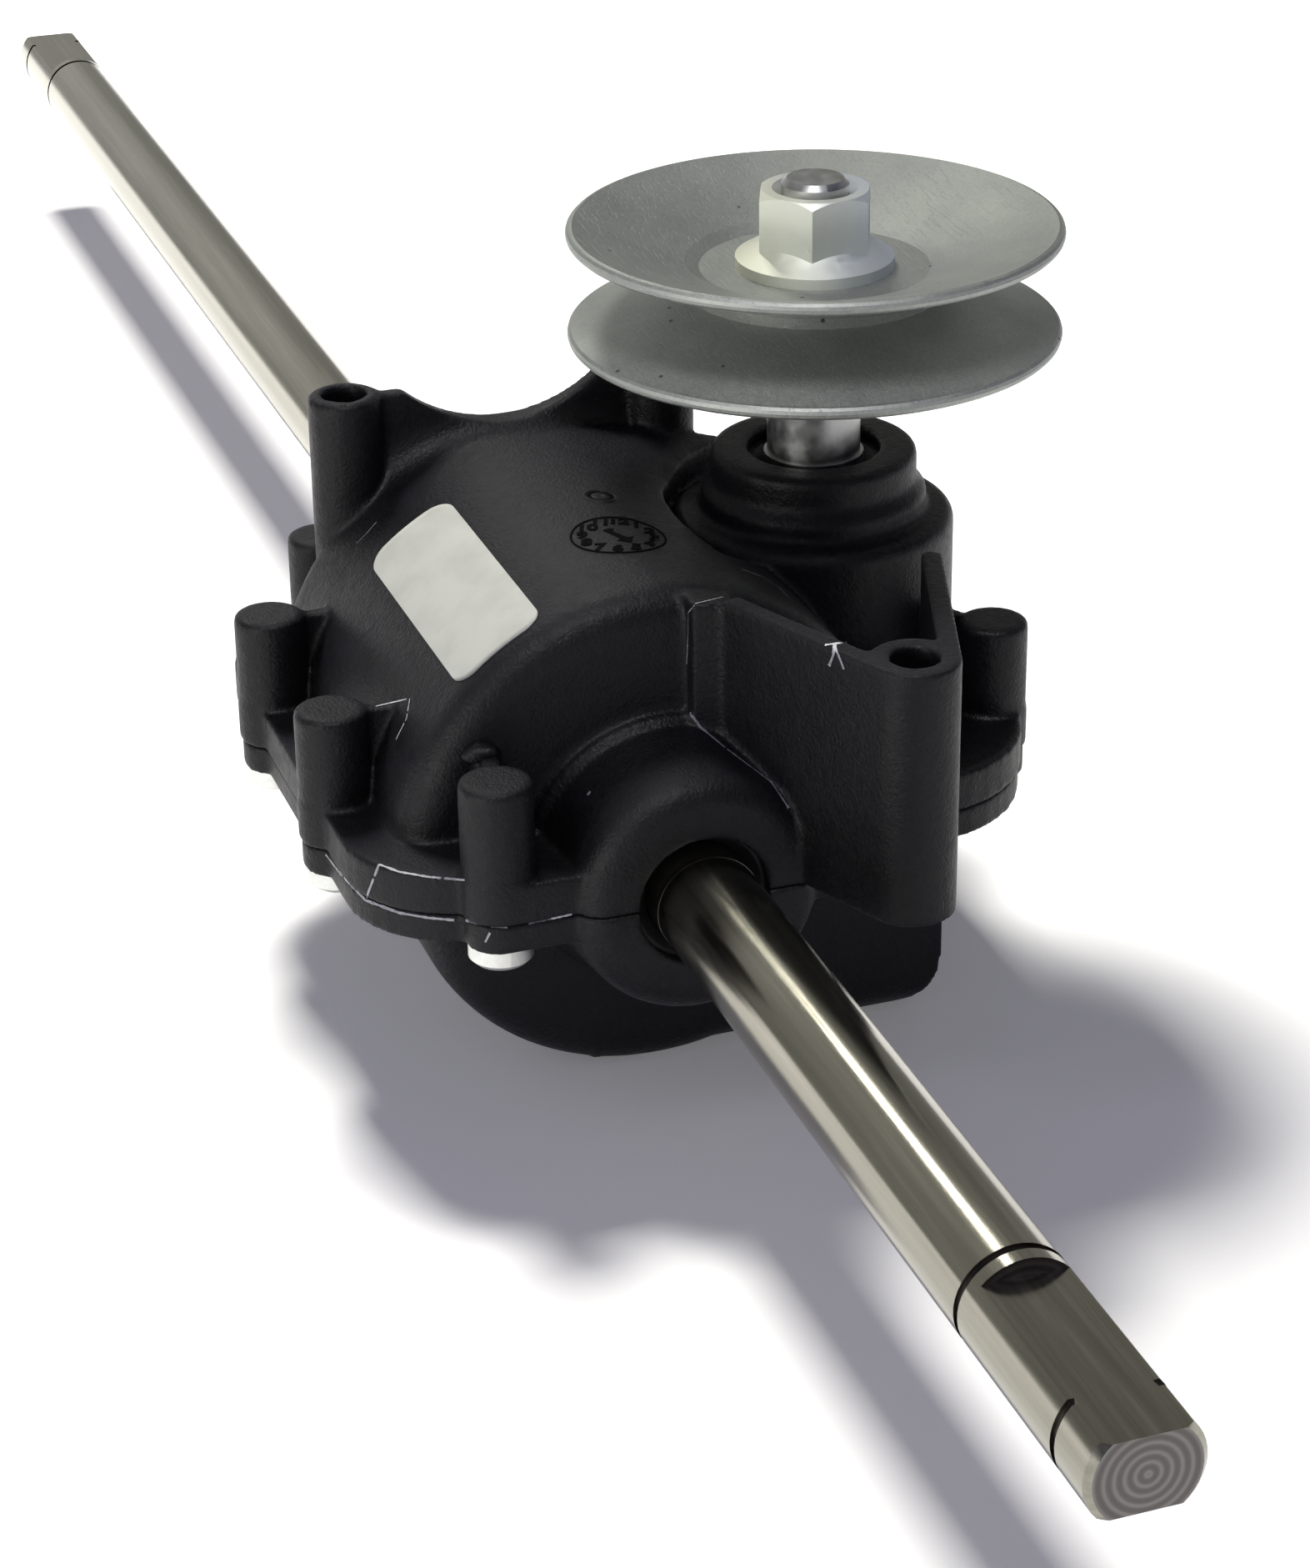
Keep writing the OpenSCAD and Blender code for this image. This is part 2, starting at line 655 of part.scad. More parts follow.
module upper_housing() {
    color(housing_black)
        difference() {
            union() {
                upper_half()
                    union() {
                        difference() {
                            union() {
                                about_axle()
                                    drum_profile(drum_d / 2, drum_round);
                                roof();
                            }
                            tower_dish();
                        }
                        at_both_ends()
                            about_axle()
                                collar_profile();
                    }
                tower();
                translate([0, 0, axle_height])
                    linear_extrude(height = upper_flange)
                        flange_outline();
                for (s = screws)
                    translate(s)
                        round_top_post(pillar_d, pillar_height);
                gussets();
                for (p = posts)
                    translate(p)
                        round_top_post(post_d, post_height);
                post_web();
                bracket();
            }
            axle_cavity();
            shaft_cavity();
            mount_holes();
            for (s = screws)
                translate([s[0], s[1], axle_height - over])
                    cylinder(d = screw_d + 2 * fit, h = screw_length - lower_flange + wall / 2 + over, $fn = small_fn);
            for (p = dowels)
                translate([p[0], p[1], axle_height - over])
                    cylinder(d = dowel_d + 2 * fit, h = dowel_length / 2 + over, $fn = small_fn);
        }
}

// Lower cover: half drum and a flat-bottomed tub that carries the worm's lower bearing
module tub_side_view() {
    polygon(concat([[drum_far, 0]],
                   arc([drum_far + drum_round, drum_round - axle_height], drum_round, 180, 270),
                   arc([drum_near - drum_round, drum_round - axle_height], drum_round, 270, 360),
                   [[drum_near, 0]]));
}
module tub_outline() {
    polygon(concat([[-centre_distance / 4, 0], [tub_side, 0]],
                   arc([tub_side - tub_round, tub_round - axle_height], tub_round, 0, -90),
                   [[-centre_distance / 4, -axle_height]]));
}

module lower_cover() {
    color(housing_black)
        difference() {
            union() {
                lower_half()
                    intersection() {
                        union() {
                            about_axle()
                                drum_profile(belly_d / 2, drum_round);
                            at_both_ends()
                                about_axle()
                                    collar_profile();
                        }
                        translate([-half_size / 2, -half_size / 2, 0])
                            cube([half_size, half_size, half_size]);
                    }
                intersection() {
                    translate([drum_far, 0, axle_height])
                        rotate([90, 0, 90])
                            linear_extrude(height = drum_length)
                                tub_outline();
                    translate([0, tub_side + over, axle_height])
                        rotate([90, 0, 0])
                            linear_extrude(height = 2 * tub_side)
                                tub_side_view();
                }
                about_shaft()
                    polygon(concat([[0, -axle_height]],
                                   arc([pod_d / 2 - wall, wall - axle_height], wall, -90, 0),
                                   [[pod_d / 2, 0], [0, 0]]));
                translate([0, 0, axle_height - lower_flange])
                    linear_extrude(height = lower_flange)
                        flange_outline(flange_step);
            }
            axle_cavity();
            shaft_cavity();
            translate([drum_centre - cavity_end, 0, wall])
                cube([2 * cavity_end, centre_distance, axle_height - wall + over]);
            for (s = screws)
                translate([s[0], s[1], axle_height - lower_flange - over])
                    cylinder(d = screw_d + 2 * screw_play, h = lower_flange + 2 * over, $fn = small_fn);
            for (p = dowels)
                translate([p[0], p[1], axle_height - dowel_length / 2])
                    cylinder(d = dowel_d + 2 * fit, h = dowel_length, $fn = small_fn);
        }
}

module cover_screws() {
    color(zinc)
        for (s = screws)
            translate([s[0], s[1], axle_height - lower_flange]) {
                translate([0, 0, -screw_head])
                    cylinder(d1 = screw_head_d - 2 * chamfer, d2 = screw_head_d, h = chamfer, $fn = small_fn);
                translate([0, 0, chamfer - screw_head])
                    cylinder(d = screw_head_d, h = screw_head - chamfer, $fn = small_fn);
                cylinder(d = screw_d, h = screw_length, $fn = small_fn);
            }
}

module cover_dowels() {
    color(bright_steel)
        for (p = dowels)
            translate([p[0], p[1], axle_height - dowel_length / 2 + fit])
                cylinder(d = dowel_d, h = dowel_length - 2 * fit, $fn = small_fn);
}

// One end of the axle from its round bar outward, with the flats' grooves
module axle() {
    bar_r = axle_bar_d / 2;
    near_flat = axle_near - flat_length;
    far_flat = flat_length - axle_far;
    bar_near = drum_centre + collar_face + groove_width;
    bar_far = drum_centre - collar_face - groove_width;
    neck_r = bar_r - groove_depth;
    near_inner = near_flat - shoulder_groove - groove_width;
    far_inner = far_flat + shoulder_groove + groove_width;
    near_outer = axle_near - end_groove;
    far_outer = end_groove - axle_far;
    color(steel)
        difference() {
            about_axle()
                polygon([[0, -axle_far], [bar_r - chamfer, -axle_far], [bar_r, chamfer - axle_far],
                         [bar_r, far_outer - groove_width], [neck_r, far_outer - groove_width],
                         [neck_r, far_outer], [bar_r, far_outer],
                         [bar_r, far_inner - groove_width], [neck_r, far_inner - groove_width],
                         [neck_r, far_inner], [bar_r, far_inner],
                         [bar_r, bar_far], [axle_d / 2, bar_far], [axle_d / 2, bar_near], [bar_r, bar_near],
                         [bar_r, near_inner], [neck_r, near_inner],
                         [neck_r, near_inner + groove_width], [bar_r, near_inner + groove_width],
                         [bar_r, near_outer], [neck_r, near_outer],
                         [neck_r, near_outer + groove_width], [bar_r, near_outer + groove_width],
                         [bar_r, axle_near - chamfer], [bar_r - chamfer, axle_near], [0, axle_near]]);
            for (side = [0, 180])
                translate([0, 0, axle_height])
                    rotate([side, 0, 0]) {
                        translate([near_flat, -axle_d, flat_across / 2])
                            cube([flat_length + over, 2 * axle_d, axle_d]);
                        translate([-axle_far - over, -axle_d, flat_across / 2])
                            cube([flat_length + over, 2 * axle_d, axle_d]);
                    }
            translate([-key_length / 2 - fit, -key_side / 2 - fit, axle_height + axle_d / 2 - key_side / 2])
                cube([key_length + 2 * fit, key_side + 2 * fit, key_side]);
        }
}

// Wheel tooth by tooth: an involute-like flank from the root to the tip, cut off along the pitch line
function flank_half(r) = wheel_tooth / 2 / wheel_pitch_r * 180 / PI
    - (r - wheel_pitch_r) * tan(pressure_angle) / wheel_pitch_r * 180 / PI
    - pow((r - wheel_pitch_r) / wheel_pitch_r, 2) * tan(pressure_angle) * 180 / PI * flank_curve_share;
flank_curve_share = 1.6;
flank_shares = [0, 0.33, 0.62, 0.84, 1];

module wheel_section() {
    radii = [for (s = flank_shares) wheel_root_r + (wheel_tip_r - wheel_root_r) * s];
    last = len(radii) - 1;
    difference() {
        polygon([for (tooth = [0 : wheel_teeth - 1])
                 each concat([for (i = [0 : last]) let (a = 360 / wheel_teeth * tooth - flank_half(radii[i]))
                              radii[i] * [cos(a), sin(a)]],
                             [for (i = [0 : last]) let (a = 360 / wheel_teeth * tooth + flank_half(radii[last - i]))
                              radii[last - i] * [cos(a), sin(a)]])]);
        circle(d = ring_bore_d + 2 * fit, $fn = round_fn);
    }
}

module worm_wheel() {
    ring_twist = wheel_width * lead / (2 * PI * worm_pitch_r) / wheel_pitch_r * 180 / PI;
    color(bronze)
        translate([-wheel_width / 2, 0, axle_height])
            rotate([wheel_phase - ring_twist / 2, 0, 0])
                rotate([0, 90, 0])
                    rotate([0, 0, 90])
                        linear_extrude(height = wheel_width, twist = -ring_twist, slices = wheel_slices)
                            wheel_section();
}

module wheel_hub() {
    color(steel)
        difference() {
            about_axle()
                polygon([[0, -hub_length / 2], [hub_d / 2 - fine_chamfer, -hub_length / 2],
                         [hub_d / 2, fine_chamfer - hub_length / 2],
                         [hub_d / 2, -hub_disc / 2], [ring_bore_d / 2, -hub_disc / 2],
                         [ring_bore_d / 2, hub_disc / 2], [hub_d / 2, hub_disc / 2],
                         [hub_d / 2, hub_length / 2 - fine_chamfer],
                         [hub_d / 2 - fine_chamfer, hub_length / 2], [0, hub_length / 2]]);
            about_axle()
                polygon([[0, -hub_length], [axle_d / 2 + fit, -hub_length],
                         [axle_d / 2 + fit, hub_length], [0, hub_length]]);
            translate([-key_length / 2 - fit, -key_side / 2 - fit, axle_height])
                cube([key_length + 2 * fit, key_side + 2 * fit, axle_d / 2 + key_side / 2 + fit]);
        }
}

module hub_key() {
    color(bright_steel)
        translate([-key_length / 2, -key_side / 2, axle_height + axle_d / 2 - key_side / 2 + fit])
            cube([key_length, key_side, key_side - 2 * fit]);
}

// Tube on the axle between the hub and a bearing
module spacer(from, to) {
    color(steel)
        about_axle()
            polygon([[axle_d / 2 + fit, from], [spacer_d / 2, from], [spacer_d / 2, to], [axle_d / 2 + fit, to]]);
}
module near_spacer() { spacer(hub_length / 2 + fit, near_race_x - fit); }
module far_spacer() { spacer(far_race_x + fit, -hub_length / 2 - fit); }

// Ball bearings: a profile is [radius, place along the axis], from the bearing's first face
race_share = 0.31;
ball_share = 0.29;
function pitch_r(bore, d) = (bore + d) / 4;
function ball_r(bore, d) = (d - bore) / 2 * ball_share;
module outer_race_profile(bore, d, w) {
    mid = pitch_r(bore, d);
    inner = d / 2 - (d - bore) / 2 * race_share;
    groove = ball_r(bore, d) + lip_fit;
    dip = acos((inner - mid) / groove);
    polygon(concat([[inner, 0], [d / 2 - fine_chamfer, 0], [d / 2, fine_chamfer],
                    [d / 2, w - fine_chamfer], [d / 2 - fine_chamfer, w], [inner, w]],
                   arc([mid, w / 2], groove, dip, -dip, 8)));
}
module inner_race_profile(bore, d, w) {
    mid = pitch_r(bore, d);
    outer = bore / 2 + (d - bore) / 2 * race_share;
    groove = ball_r(bore, d) + lip_fit;
    dip = acos((mid - outer) / groove);
    polygon(concat([[bore / 2 + fit, fine_chamfer], [bore / 2 + fine_chamfer, 0], [outer, 0]],
                   arc([mid, w / 2], groove, 180 + dip, 180 - dip, 8),
                   [[outer, w], [bore / 2 + fine_chamfer, w], [bore / 2 + fit, w - fine_chamfer]]));
}
module balls(bore, d, w) {
    for (i = [0 : ball_count - 1])
        rotate([0, 0, 360 / ball_count * i])
            translate([pitch_r(bore, d), 0, w / 2])
                sphere(r = ball_r(bore, d), $fn = small_fn);
}

module near_bearing_outer_race() {
    color(bright_steel)
        translate([near_race_x, 0, 0])
            about_axle()
                outer_race_profile(axle_d, axle_bearing_d, axle_bearing_w);
}
module near_bearing_inner_race() {
    color(bright_steel)
        translate([near_race_x, 0, 0])
            about_axle()
                inner_race_profile(axle_d, axle_bearing_d, axle_bearing_w);
}
module near_bearing_balls() {
    color(bright_steel)
        translate([near_race_x, 0, axle_height])
            rotate([0, 90, 0])
                balls(axle_d, axle_bearing_d, axle_bearing_w);
}
module far_bearing_outer_race() {
    color(bright_steel)
        translate([far_race_x - axle_bearing_w, 0, 0])
            about_axle()
                outer_race_profile(axle_d, axle_bearing_d, axle_bearing_w);
}
module far_bearing_inner_race() {
    color(bright_steel)
        translate([far_race_x - axle_bearing_w, 0, 0])
            about_axle()
                inner_race_profile(axle_d, axle_bearing_d, axle_bearing_w);
}
module far_bearing_balls() {
    color(bright_steel)
        translate([far_race_x - axle_bearing_w, 0, axle_height])
            rotate([0, 90, 0])
                balls(axle_d, axle_bearing_d, axle_bearing_w);
}

// Lip seal: an outer ring, a web on its outer face and a lip on the shaft
module seal_profile(d, w, shaft) {
    lip = seal_wall / 2;
    polygon([[d / 2 - seal_wall, 0], [d / 2, 0], [d / 2, w], [shaft / 2 + seal_wall, w],
             [shaft / 2 + lip_fit, w - seal_wall], [shaft / 2 + lip_fit, w / 3],
             [shaft / 2 + lip_fit + lip, w / 3], [shaft / 2 + seal_wall, w - seal_wall],
             [d / 2 - seal_wall, w - seal_wall]]);
}
module near_axle_seal() {
    color(rubber_black)
        translate([drum_centre, 0, 0])
            about_axle()
                translate([0, seal_inner_face])
                    seal_profile(axle_seal_d, axle_seal_w, axle_d);
}
module far_axle_seal() {
    color(rubber_black)
        translate([drum_centre, 0, 0])
            mirror([1, 0, 0])
                about_axle()
                    translate([0, seal_inner_face])
                        seal_profile(axle_seal_d, axle_seal_w, axle_d);
}
module shaft_seal() {
    color(rubber_black)
        about_shaft()
            translate([0, shaft_seal_foot])
                seal_profile(shaft_seal_d, shaft_seal_w, shaft_d);
}

// Worm thread: the section's radius follows the thread's trapezoid round the turn
function thread_half(r) = worm_thread / 2 - (r - worm_pitch_r) * tan(pressure_angle);
function thread_r(offset) = let (r = worm_pitch_r + (worm_thread / 2 - abs(offset)) / tan(pressure_angle))
    max(worm_root_r, min(worm_tip_r, r));
function start_offset(angle) = let (a = ((angle % (360 / worm_starts)) + 360 / worm_starts) % (360 / worm_starts))
    (a > 180 / worm_starts ? a - 360 / worm_starts : a) * lead / 360;
thread_stops = [-axial_pitch / 2, -(axial_pitch / 2 + thread_half(worm_root_r)) / 2, -thread_half(worm_root_r),
                -thread_half(worm_pitch_r), -thread_half(worm_tip_r), 0, thread_half(worm_tip_r),
                thread_half(worm_pitch_r), thread_half(worm_root_r), (axial_pitch / 2 + thread_half(worm_root_r)) / 2];

module worm_section() {
    stops = [for (s = [0 : worm_starts - 1]) for (o = thread_stops) o / lead * 360 + 360 / worm_starts * s];
    polygon([for (a = stops) thread_r(start_offset(a)) * [cos(a), sin(a)]]);
}

module worm_shaft() {
    collar_foot = upper_seat_foot - 2 * circlip_t;
    foot_shoulder = lower_seat_top + shim_t + fit;
    seat_foot = pulley_mid - pulley_sheet - fit;
    seat_top = pulley_mid + pulley_sheet;
    neck_foot = neck_height - chamfer;
    color(bright_steel) {
        difference() {
            about_shaft(small_fn)
                polygon([[0, lower_seat_foot + fit], [shaft_foot_d / 2 - chamfer, lower_seat_foot + fit],
                         [shaft_foot_d / 2, lower_seat_foot + fit + chamfer], [shaft_foot_d / 2, foot_shoulder],
                         [shim_d / 2 - fine_chamfer, foot_shoulder], [shim_d / 2 - fine_chamfer, -worm_length / 2 - chamfer],
                         [worm_core_r, -worm_length / 2 - chamfer], [worm_core_r, collar_foot],
                         [shaft_collar_d / 2, collar_foot], [shaft_collar_d / 2, upper_seat_foot - fit],
                         [shaft_d / 2, upper_seat_foot - fit], [shaft_d / 2, upper_seat_top + fit],
                         [shaft_d / 2 - groove_depth, upper_seat_top + fit],
                         [shaft_d / 2 - groove_depth, upper_seat_top + circlip_t + 3 * fit],
                         [shaft_d / 2, upper_seat_top + circlip_t + 3 * fit],
                         [shaft_d / 2, neck_foot], [shaft_neck_d / 2, neck_foot],
                         [shaft_neck_d / 2, seat_foot], [pulley_seat_d / 2, seat_foot],
                         [pulley_seat_d / 2, seat_top], [thread_d / 2, seat_top],
                         [thread_d / 2, shaft_top - chamfer], [thread_d / 2 - chamfer, shaft_top], [0, shaft_top]]);
            for (side = [0, 180])
                translate([0, centre_distance, axle_height + seat_foot])
                    rotate([0, 0, side])
                        translate([pulley_seat_across / 2, -shaft_d, 0])
                            cube([shaft_d, 2 * shaft_d, seat_top - seat_foot]);
        }
        translate([0, centre_distance, axle_height])
            rotate([0, 0, -90])
                translate([0, 0, -worm_length / 2])
                    rotate([0, 0, -worm_length / 2 / lead * 360])
                        linear_extrude(height = worm_length, twist = -worm_length / lead * 360,
                                       slices = ceil(worm_length / lead * worm_slices_per_turn))
                            worm_section();
    }
}

module upper_bearing_outer_race() {
    color(bright_steel)
        about_shaft()
            translate([0, upper_seat_foot])
                outer_race_profile(shaft_d, upper_bearing_d, upper_bearing_w);
}
module upper_bearing_inner_race() {
    color(bright_steel)
        about_shaft()
            translate([0, upper_seat_foot])
                inner_race_profile(shaft_d, upper_bearing_d, upper_bearing_w);
}
module upper_bearing_balls() {
    color(bright_steel)
        translate([0, centre_distance, axle_height + upper_seat_foot])
            balls(shaft_d, upper_bearing_d, upper_bearing_w);
}
module lower_bearing_outer_race() {
    color(bright_steel)
        about_shaft()
            translate([0, lower_seat_foot])
                outer_race_profile(shaft_foot_d, lower_bearing_d, lower_bearing_w);
}
module lower_bearing_inner_race() {
    color(bright_steel)
        about_shaft()
            translate([0, lower_seat_foot])
                inner_race_profile(shaft_foot_d, lower_bearing_d, lower_bearing_w);
}
module lower_bearing_balls() {
    color(bright_steel)
        translate([0, centre_distance, axle_height + lower_seat_foot])
            balls(shaft_foot_d, lower_bearing_d, lower_bearing_w);
}

// Open retaining ring in its groove over the upper bearing
module shaft_circlip() {
    gap = circlip_d / 4;
    color(steel)
        translate([0, centre_distance, axle_height + upper_seat_top + 2 * fit])
            difference() {
                cylinder(d = circlip_d, h = circlip_t, $fn = small_fn);
                translate([0, 0, -over])
                    cylinder(d = shaft_d - 2 * groove_depth + 2 * fit, h = circlip_t + 2 * over, $fn = small_fn);
                translate([0, -gap / 2, -over])
                    cube([circlip_d, gap, circlip_t + 2 * over]);
            }
}

// Open retaining ring in the tower, under the upper bearing, open towards the wheel
module tower_circlip() {
    ring_r = ring_groove_r - 2 * fit;
    color(steel)
        translate([0, centre_distance, axle_height + ring_groove_foot + fit / 2])
            rotate([0, 0, 270])
                difference() {
                    cylinder(r = ring_r, h = circlip_t, $fn = round_fn);
                    translate([0, 0, -over])
                        cylinder(r = ring_r - wall, h = circlip_t + 2 * over, $fn = round_fn);
                    translate([0, -ring_gap_share * ring_r, -over])
                        cube([2 * ring_r, 2 * ring_gap_share * ring_r, circlip_t + 2 * over]);
                }
}
ring_gap_share = 0.6;

module bearing_shim() {
    color(bright_steel)
        about_shaft(small_fn)
            polygon([[shaft_foot_d / 2 + fit, lower_seat_top], [shim_d / 2, lower_seat_top],
                     [shim_d / 2, lower_seat_top + shim_t], [shaft_foot_d / 2 + fit, lower_seat_top + shim_t]]);
}

// Pressed pulley disc: flat centre, step and cone, as [radius, height over the plane where the discs meet]
module disc_profile(recess) {
    root_r = groove_root_d / 2;
    rim_r = pulley_d / 2;
    rise = (rim_r - root_r) * tan(groove_half_angle);
    foot = recess + fine_chamfer;
    hole_r = pulley_seat_d / 2 + screw_play;
    polygon(concat([[hole_r, 0], [root_r - foot, 0], [root_r, foot], [rim_r - pulley_sheet / 2, foot + rise]],
                   arc([rim_r - pulley_sheet / 2, foot + rise + pulley_sheet / 2], pulley_sheet / 2, -90, 90, 6),
                   [[root_r - fine_chamfer, foot + pulley_sheet], [nut_recess_d / 2, pulley_sheet], [hole_r, pulley_sheet]]));
}

// Keeps the two flats of the shaft's seat in a disc's round hole
module seat_keepers() {
    for (side = [0, 180])
        translate([0, centre_distance, axle_height + pulley_mid])
            rotate([0, 0, side])
                translate([pulley_seat_across / 2 + screw_play, -pulley_seat_d / 2, 0])
                    cube([pulley_seat_d / 2 - pulley_seat_across / 2 + screw_play, pulley_seat_d, pulley_sheet]);
}

module pulley_upper_disc() {
    color(zinc)
        union() {
            about_shaft()
                translate([0, pulley_mid])
                    disc_profile(nut_recess);
            intersection() {
                seat_keepers();
                about_shaft(small_fn)
                    translate([0, pulley_mid])
                        square([pulley_seat_d / 2 + 2 * screw_play, pulley_sheet]);
            }
        }
}

module pulley_lower_disc() {
    color(zinc)
        about_shaft()
            translate([0, pulley_mid])
                mirror([0, 1])
                    disc_profile(nut_recess);
}

// Hexagon nut with a flange, clamped on the upper disc
module pulley_nut() {
    foot = pulley_mid + pulley_sheet + fit;
    flange_cone = nut_flange * 1.4;
    color(zinc)
        difference() {
            union() {
                translate([0, centre_distance, axle_height + foot])
                    rotate([0, 0, nut_turn])
                        intersection() {
                            cylinder(d = nut_across / cos(30), h = nut_height, $fn = 6);
                            rotate_extrude($fn = small_fn)
                                polygon([[0, 0], [nut_across, 0], [nut_across, nut_height / 2],
                                         [nut_across / 2, nut_height], [0, nut_height]]);
                        }
                about_shaft()
                    polygon([[0, foot], [nut_flange_d / 2, foot], [nut_flange_d / 2, foot + nut_flange],
                             [nut_across / 2, foot + nut_flange + flange_cone], [0, foot + nut_flange + flange_cone]]);
            }
            about_shaft(small_fn)
                polygon([[0, foot - over], [thread_d / 2 + screw_play + over, foot - over],
                         [thread_d / 2 + fit, foot + screw_play], [thread_d / 2 + fit, foot + nut_height - nut_countersink],
                         [thread_d / 2 + nut_countersink + over, foot + nut_height + over], [0, foot + nut_height + over]]);
        }
}
nut_turn = 36;

upper_housing();
lower_cover();
cover_screws();
cover_dowels();
axle();
worm_wheel();
wheel_hub();
hub_key();
near_spacer();
far_spacer();
near_bearing_outer_race();
near_bearing_inner_race();
near_bearing_balls();
far_bearing_outer_race();
far_bearing_inner_race();
far_bearing_balls();
near_axle_seal();
far_axle_seal();
worm_shaft();
upper_bearing_outer_race();
upper_bearing_inner_race();
upper_bearing_balls();
lower_bearing_outer_race();
lower_bearing_inner_race();
lower_bearing_balls();
shaft_circlip();
tower_circlip();
bearing_shim();
shaft_seal();
pulley_upper_disc();
pulley_lower_disc();
pulley_nut();
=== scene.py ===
import math
import random

import bmesh
import bpy
from bpy.props import FloatProperty, FloatVectorProperty, IntProperty, PointerProperty
from mathutils import Matrix, Vector
from mathutils.bvhtree import BVHTree


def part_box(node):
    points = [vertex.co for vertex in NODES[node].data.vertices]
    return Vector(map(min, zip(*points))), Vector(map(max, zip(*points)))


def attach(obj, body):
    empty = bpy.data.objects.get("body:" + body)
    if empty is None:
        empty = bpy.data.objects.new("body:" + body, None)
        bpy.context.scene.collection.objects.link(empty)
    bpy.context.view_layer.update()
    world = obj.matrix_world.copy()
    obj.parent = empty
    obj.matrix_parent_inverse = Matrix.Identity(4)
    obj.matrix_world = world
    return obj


bl_info = {
    "name": "Lawn Mower Transmission",
    "version": (1, 0, 0),
    "blender": (4, 5, 0),
    "location": "3D View > Sidebar > Transmission",
    "description": "Dresses a worm-drive mower gearbox with its finishes, mould marks and wear",
    "category": "Object",
}

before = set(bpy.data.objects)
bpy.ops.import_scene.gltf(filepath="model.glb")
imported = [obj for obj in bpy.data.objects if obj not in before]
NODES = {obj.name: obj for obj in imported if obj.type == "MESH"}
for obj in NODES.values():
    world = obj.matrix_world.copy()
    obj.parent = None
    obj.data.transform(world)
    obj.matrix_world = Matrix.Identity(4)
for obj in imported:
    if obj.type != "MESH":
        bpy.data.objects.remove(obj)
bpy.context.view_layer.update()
MM = 0.001


# Measures and colours

def linear(code):
    """sRGB hex code as linear red, green, blue and alpha."""
    parts = [int(code[i:i + 2], 16) / 255 for i in (1, 3, 5)]
    return tuple(c / 12.92 if c <= 0.04045 else ((c + 0.055) / 1.055) ** 2.4 for c in parts) + (1.0,)


def grey(value):
    """The same value in red, green and blue, for a ramp that drives a number."""
    return (value, value, value, 1.0)


def grain(size_mm):
    """Texture scale that gives features of this size in millimetres."""
    return 1.0 / (size_mm * MM)


def middle(node):
    """Middle of a CAD node's box."""
    low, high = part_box(node)
    return (Vector(low) + Vector(high)) / 2


AXLE_Z = middle("axle").z
SHAFT_Y = middle("worm_shaft").y
PHOTO_WIDTH, PHOTO_HEIGHT = 1572, 1881
PHOTO_AZIMUTH = math.radians(70.979)


# Sizes and colours a user may change

class StageSettings(bpy.types.PropertyGroup):
    focal_px: FloatProperty(name="Focal length", description="Focal length of the photograph in its pixels",
                            default=4495.73, min=500)
    camera_place: FloatVectorProperty(name="Camera place", description="Camera, with its height over the axle",
                                      default=(0.48896, -0.15479, 0.24536), subtype="TRANSLATION", unit="LENGTH")
    azimuth: FloatProperty(name="Azimuth", description="Turn of the camera round the part",
                           default=PHOTO_AZIMUTH, subtype="ANGLE", unit="ROTATION")
    pitch: FloatProperty(name="Pitch", description="Angle of the camera above the horizon",
                         default=math.radians(26.509), subtype="ANGLE", unit="ROTATION")
    roll: FloatProperty(name="Roll", description="Roll of the camera", default=math.radians(-0.824),
                        subtype="ANGLE", unit="ROTATION")
    shade: FloatVectorProperty(name="Shade", description="Colour of the room's light in the shadows",
                               default=linear("#dad6ff")[:3], subtype="COLOR", size=3, min=0, max=1)


class HousingSettings(bpy.types.PropertyGroup):
    voxel: FloatProperty(name="Moulding detail", description="Mesh size used to round the moulded edges",
                         default=0.5 * MM, min=0.4 * MM, max=2 * MM, unit="LENGTH")
    rounds: IntProperty(name="Rounding", description="Smoothing passes over the moulded edges",
                        default=4, min=0, max=30)
    kept: FloatProperty(name="Kept faces", description="Share of the fine mesh that is kept",
                        default=0.34, min=0.05, max=1)
    black: FloatVectorProperty(name="Nylon", description="Colour of the moulded nylon",
                               default=linear("#131317")[:3], subtype="COLOR", size=3, min=0, max=1)


class MarkSettings(bpy.types.PropertyGroup):
    dial_d: FloatProperty(name="Dial", description="Diameter of the moulded month dial", default=14 * MM,
                          min=8 * MM, max=20 * MM, unit="LENGTH")
    label_length: FloatProperty(name="Label length", description="Length of the bare label", default=47.0 * MM,
                                min=20 * MM, max=60 * MM, unit="LENGTH")
    label_width: FloatProperty(name="Label width", description="Width of the bare label", default=15.0 * MM,
                               min=8 * MM, max=20 * MM, unit="LENGTH")
    # one width for the scuffs and for the painted highlights along edges
    scuff_width: FloatProperty(name="Scuffs", description="Width of the pale scuffs on the edges",
                               default=0.36 * MM, min=0.1 * MM, max=1 * MM, unit="LENGTH")


# Materials

# sockets of a mix node: its two numbers, its two colours, and the mixed colour
NUMBER_A, NUMBER_B, COLOUR_A, COLOUR_B, MIXED_COLOUR = 2, 3, 6, 7, 2


def add(tree, kind, sets=None, links=None, at=(0, 0)):
    """Adds a node with its settings, socket values, colour stops and links from other nodes' sockets."""
    made = tree.nodes.new(kind)
    made.location = at
    for key, value in (sets or {}).items():
        if key == "stops":
            band = made.color_ramp
            while len(band.elements) < len(value):
                band.elements.new(0.5)
            for element, (place, colour) in zip(band.elements, value):
                element.position, element.color = place, colour
        elif isinstance(key, str) and hasattr(made, key):
            setattr(made, key, value)
        else:
            made.inputs[key].default_value = value
    for key, source in (links or {}).items():
        tree.links.new(source.outputs[0] if hasattr(source, "outputs") else source, made.inputs[key])
    return made


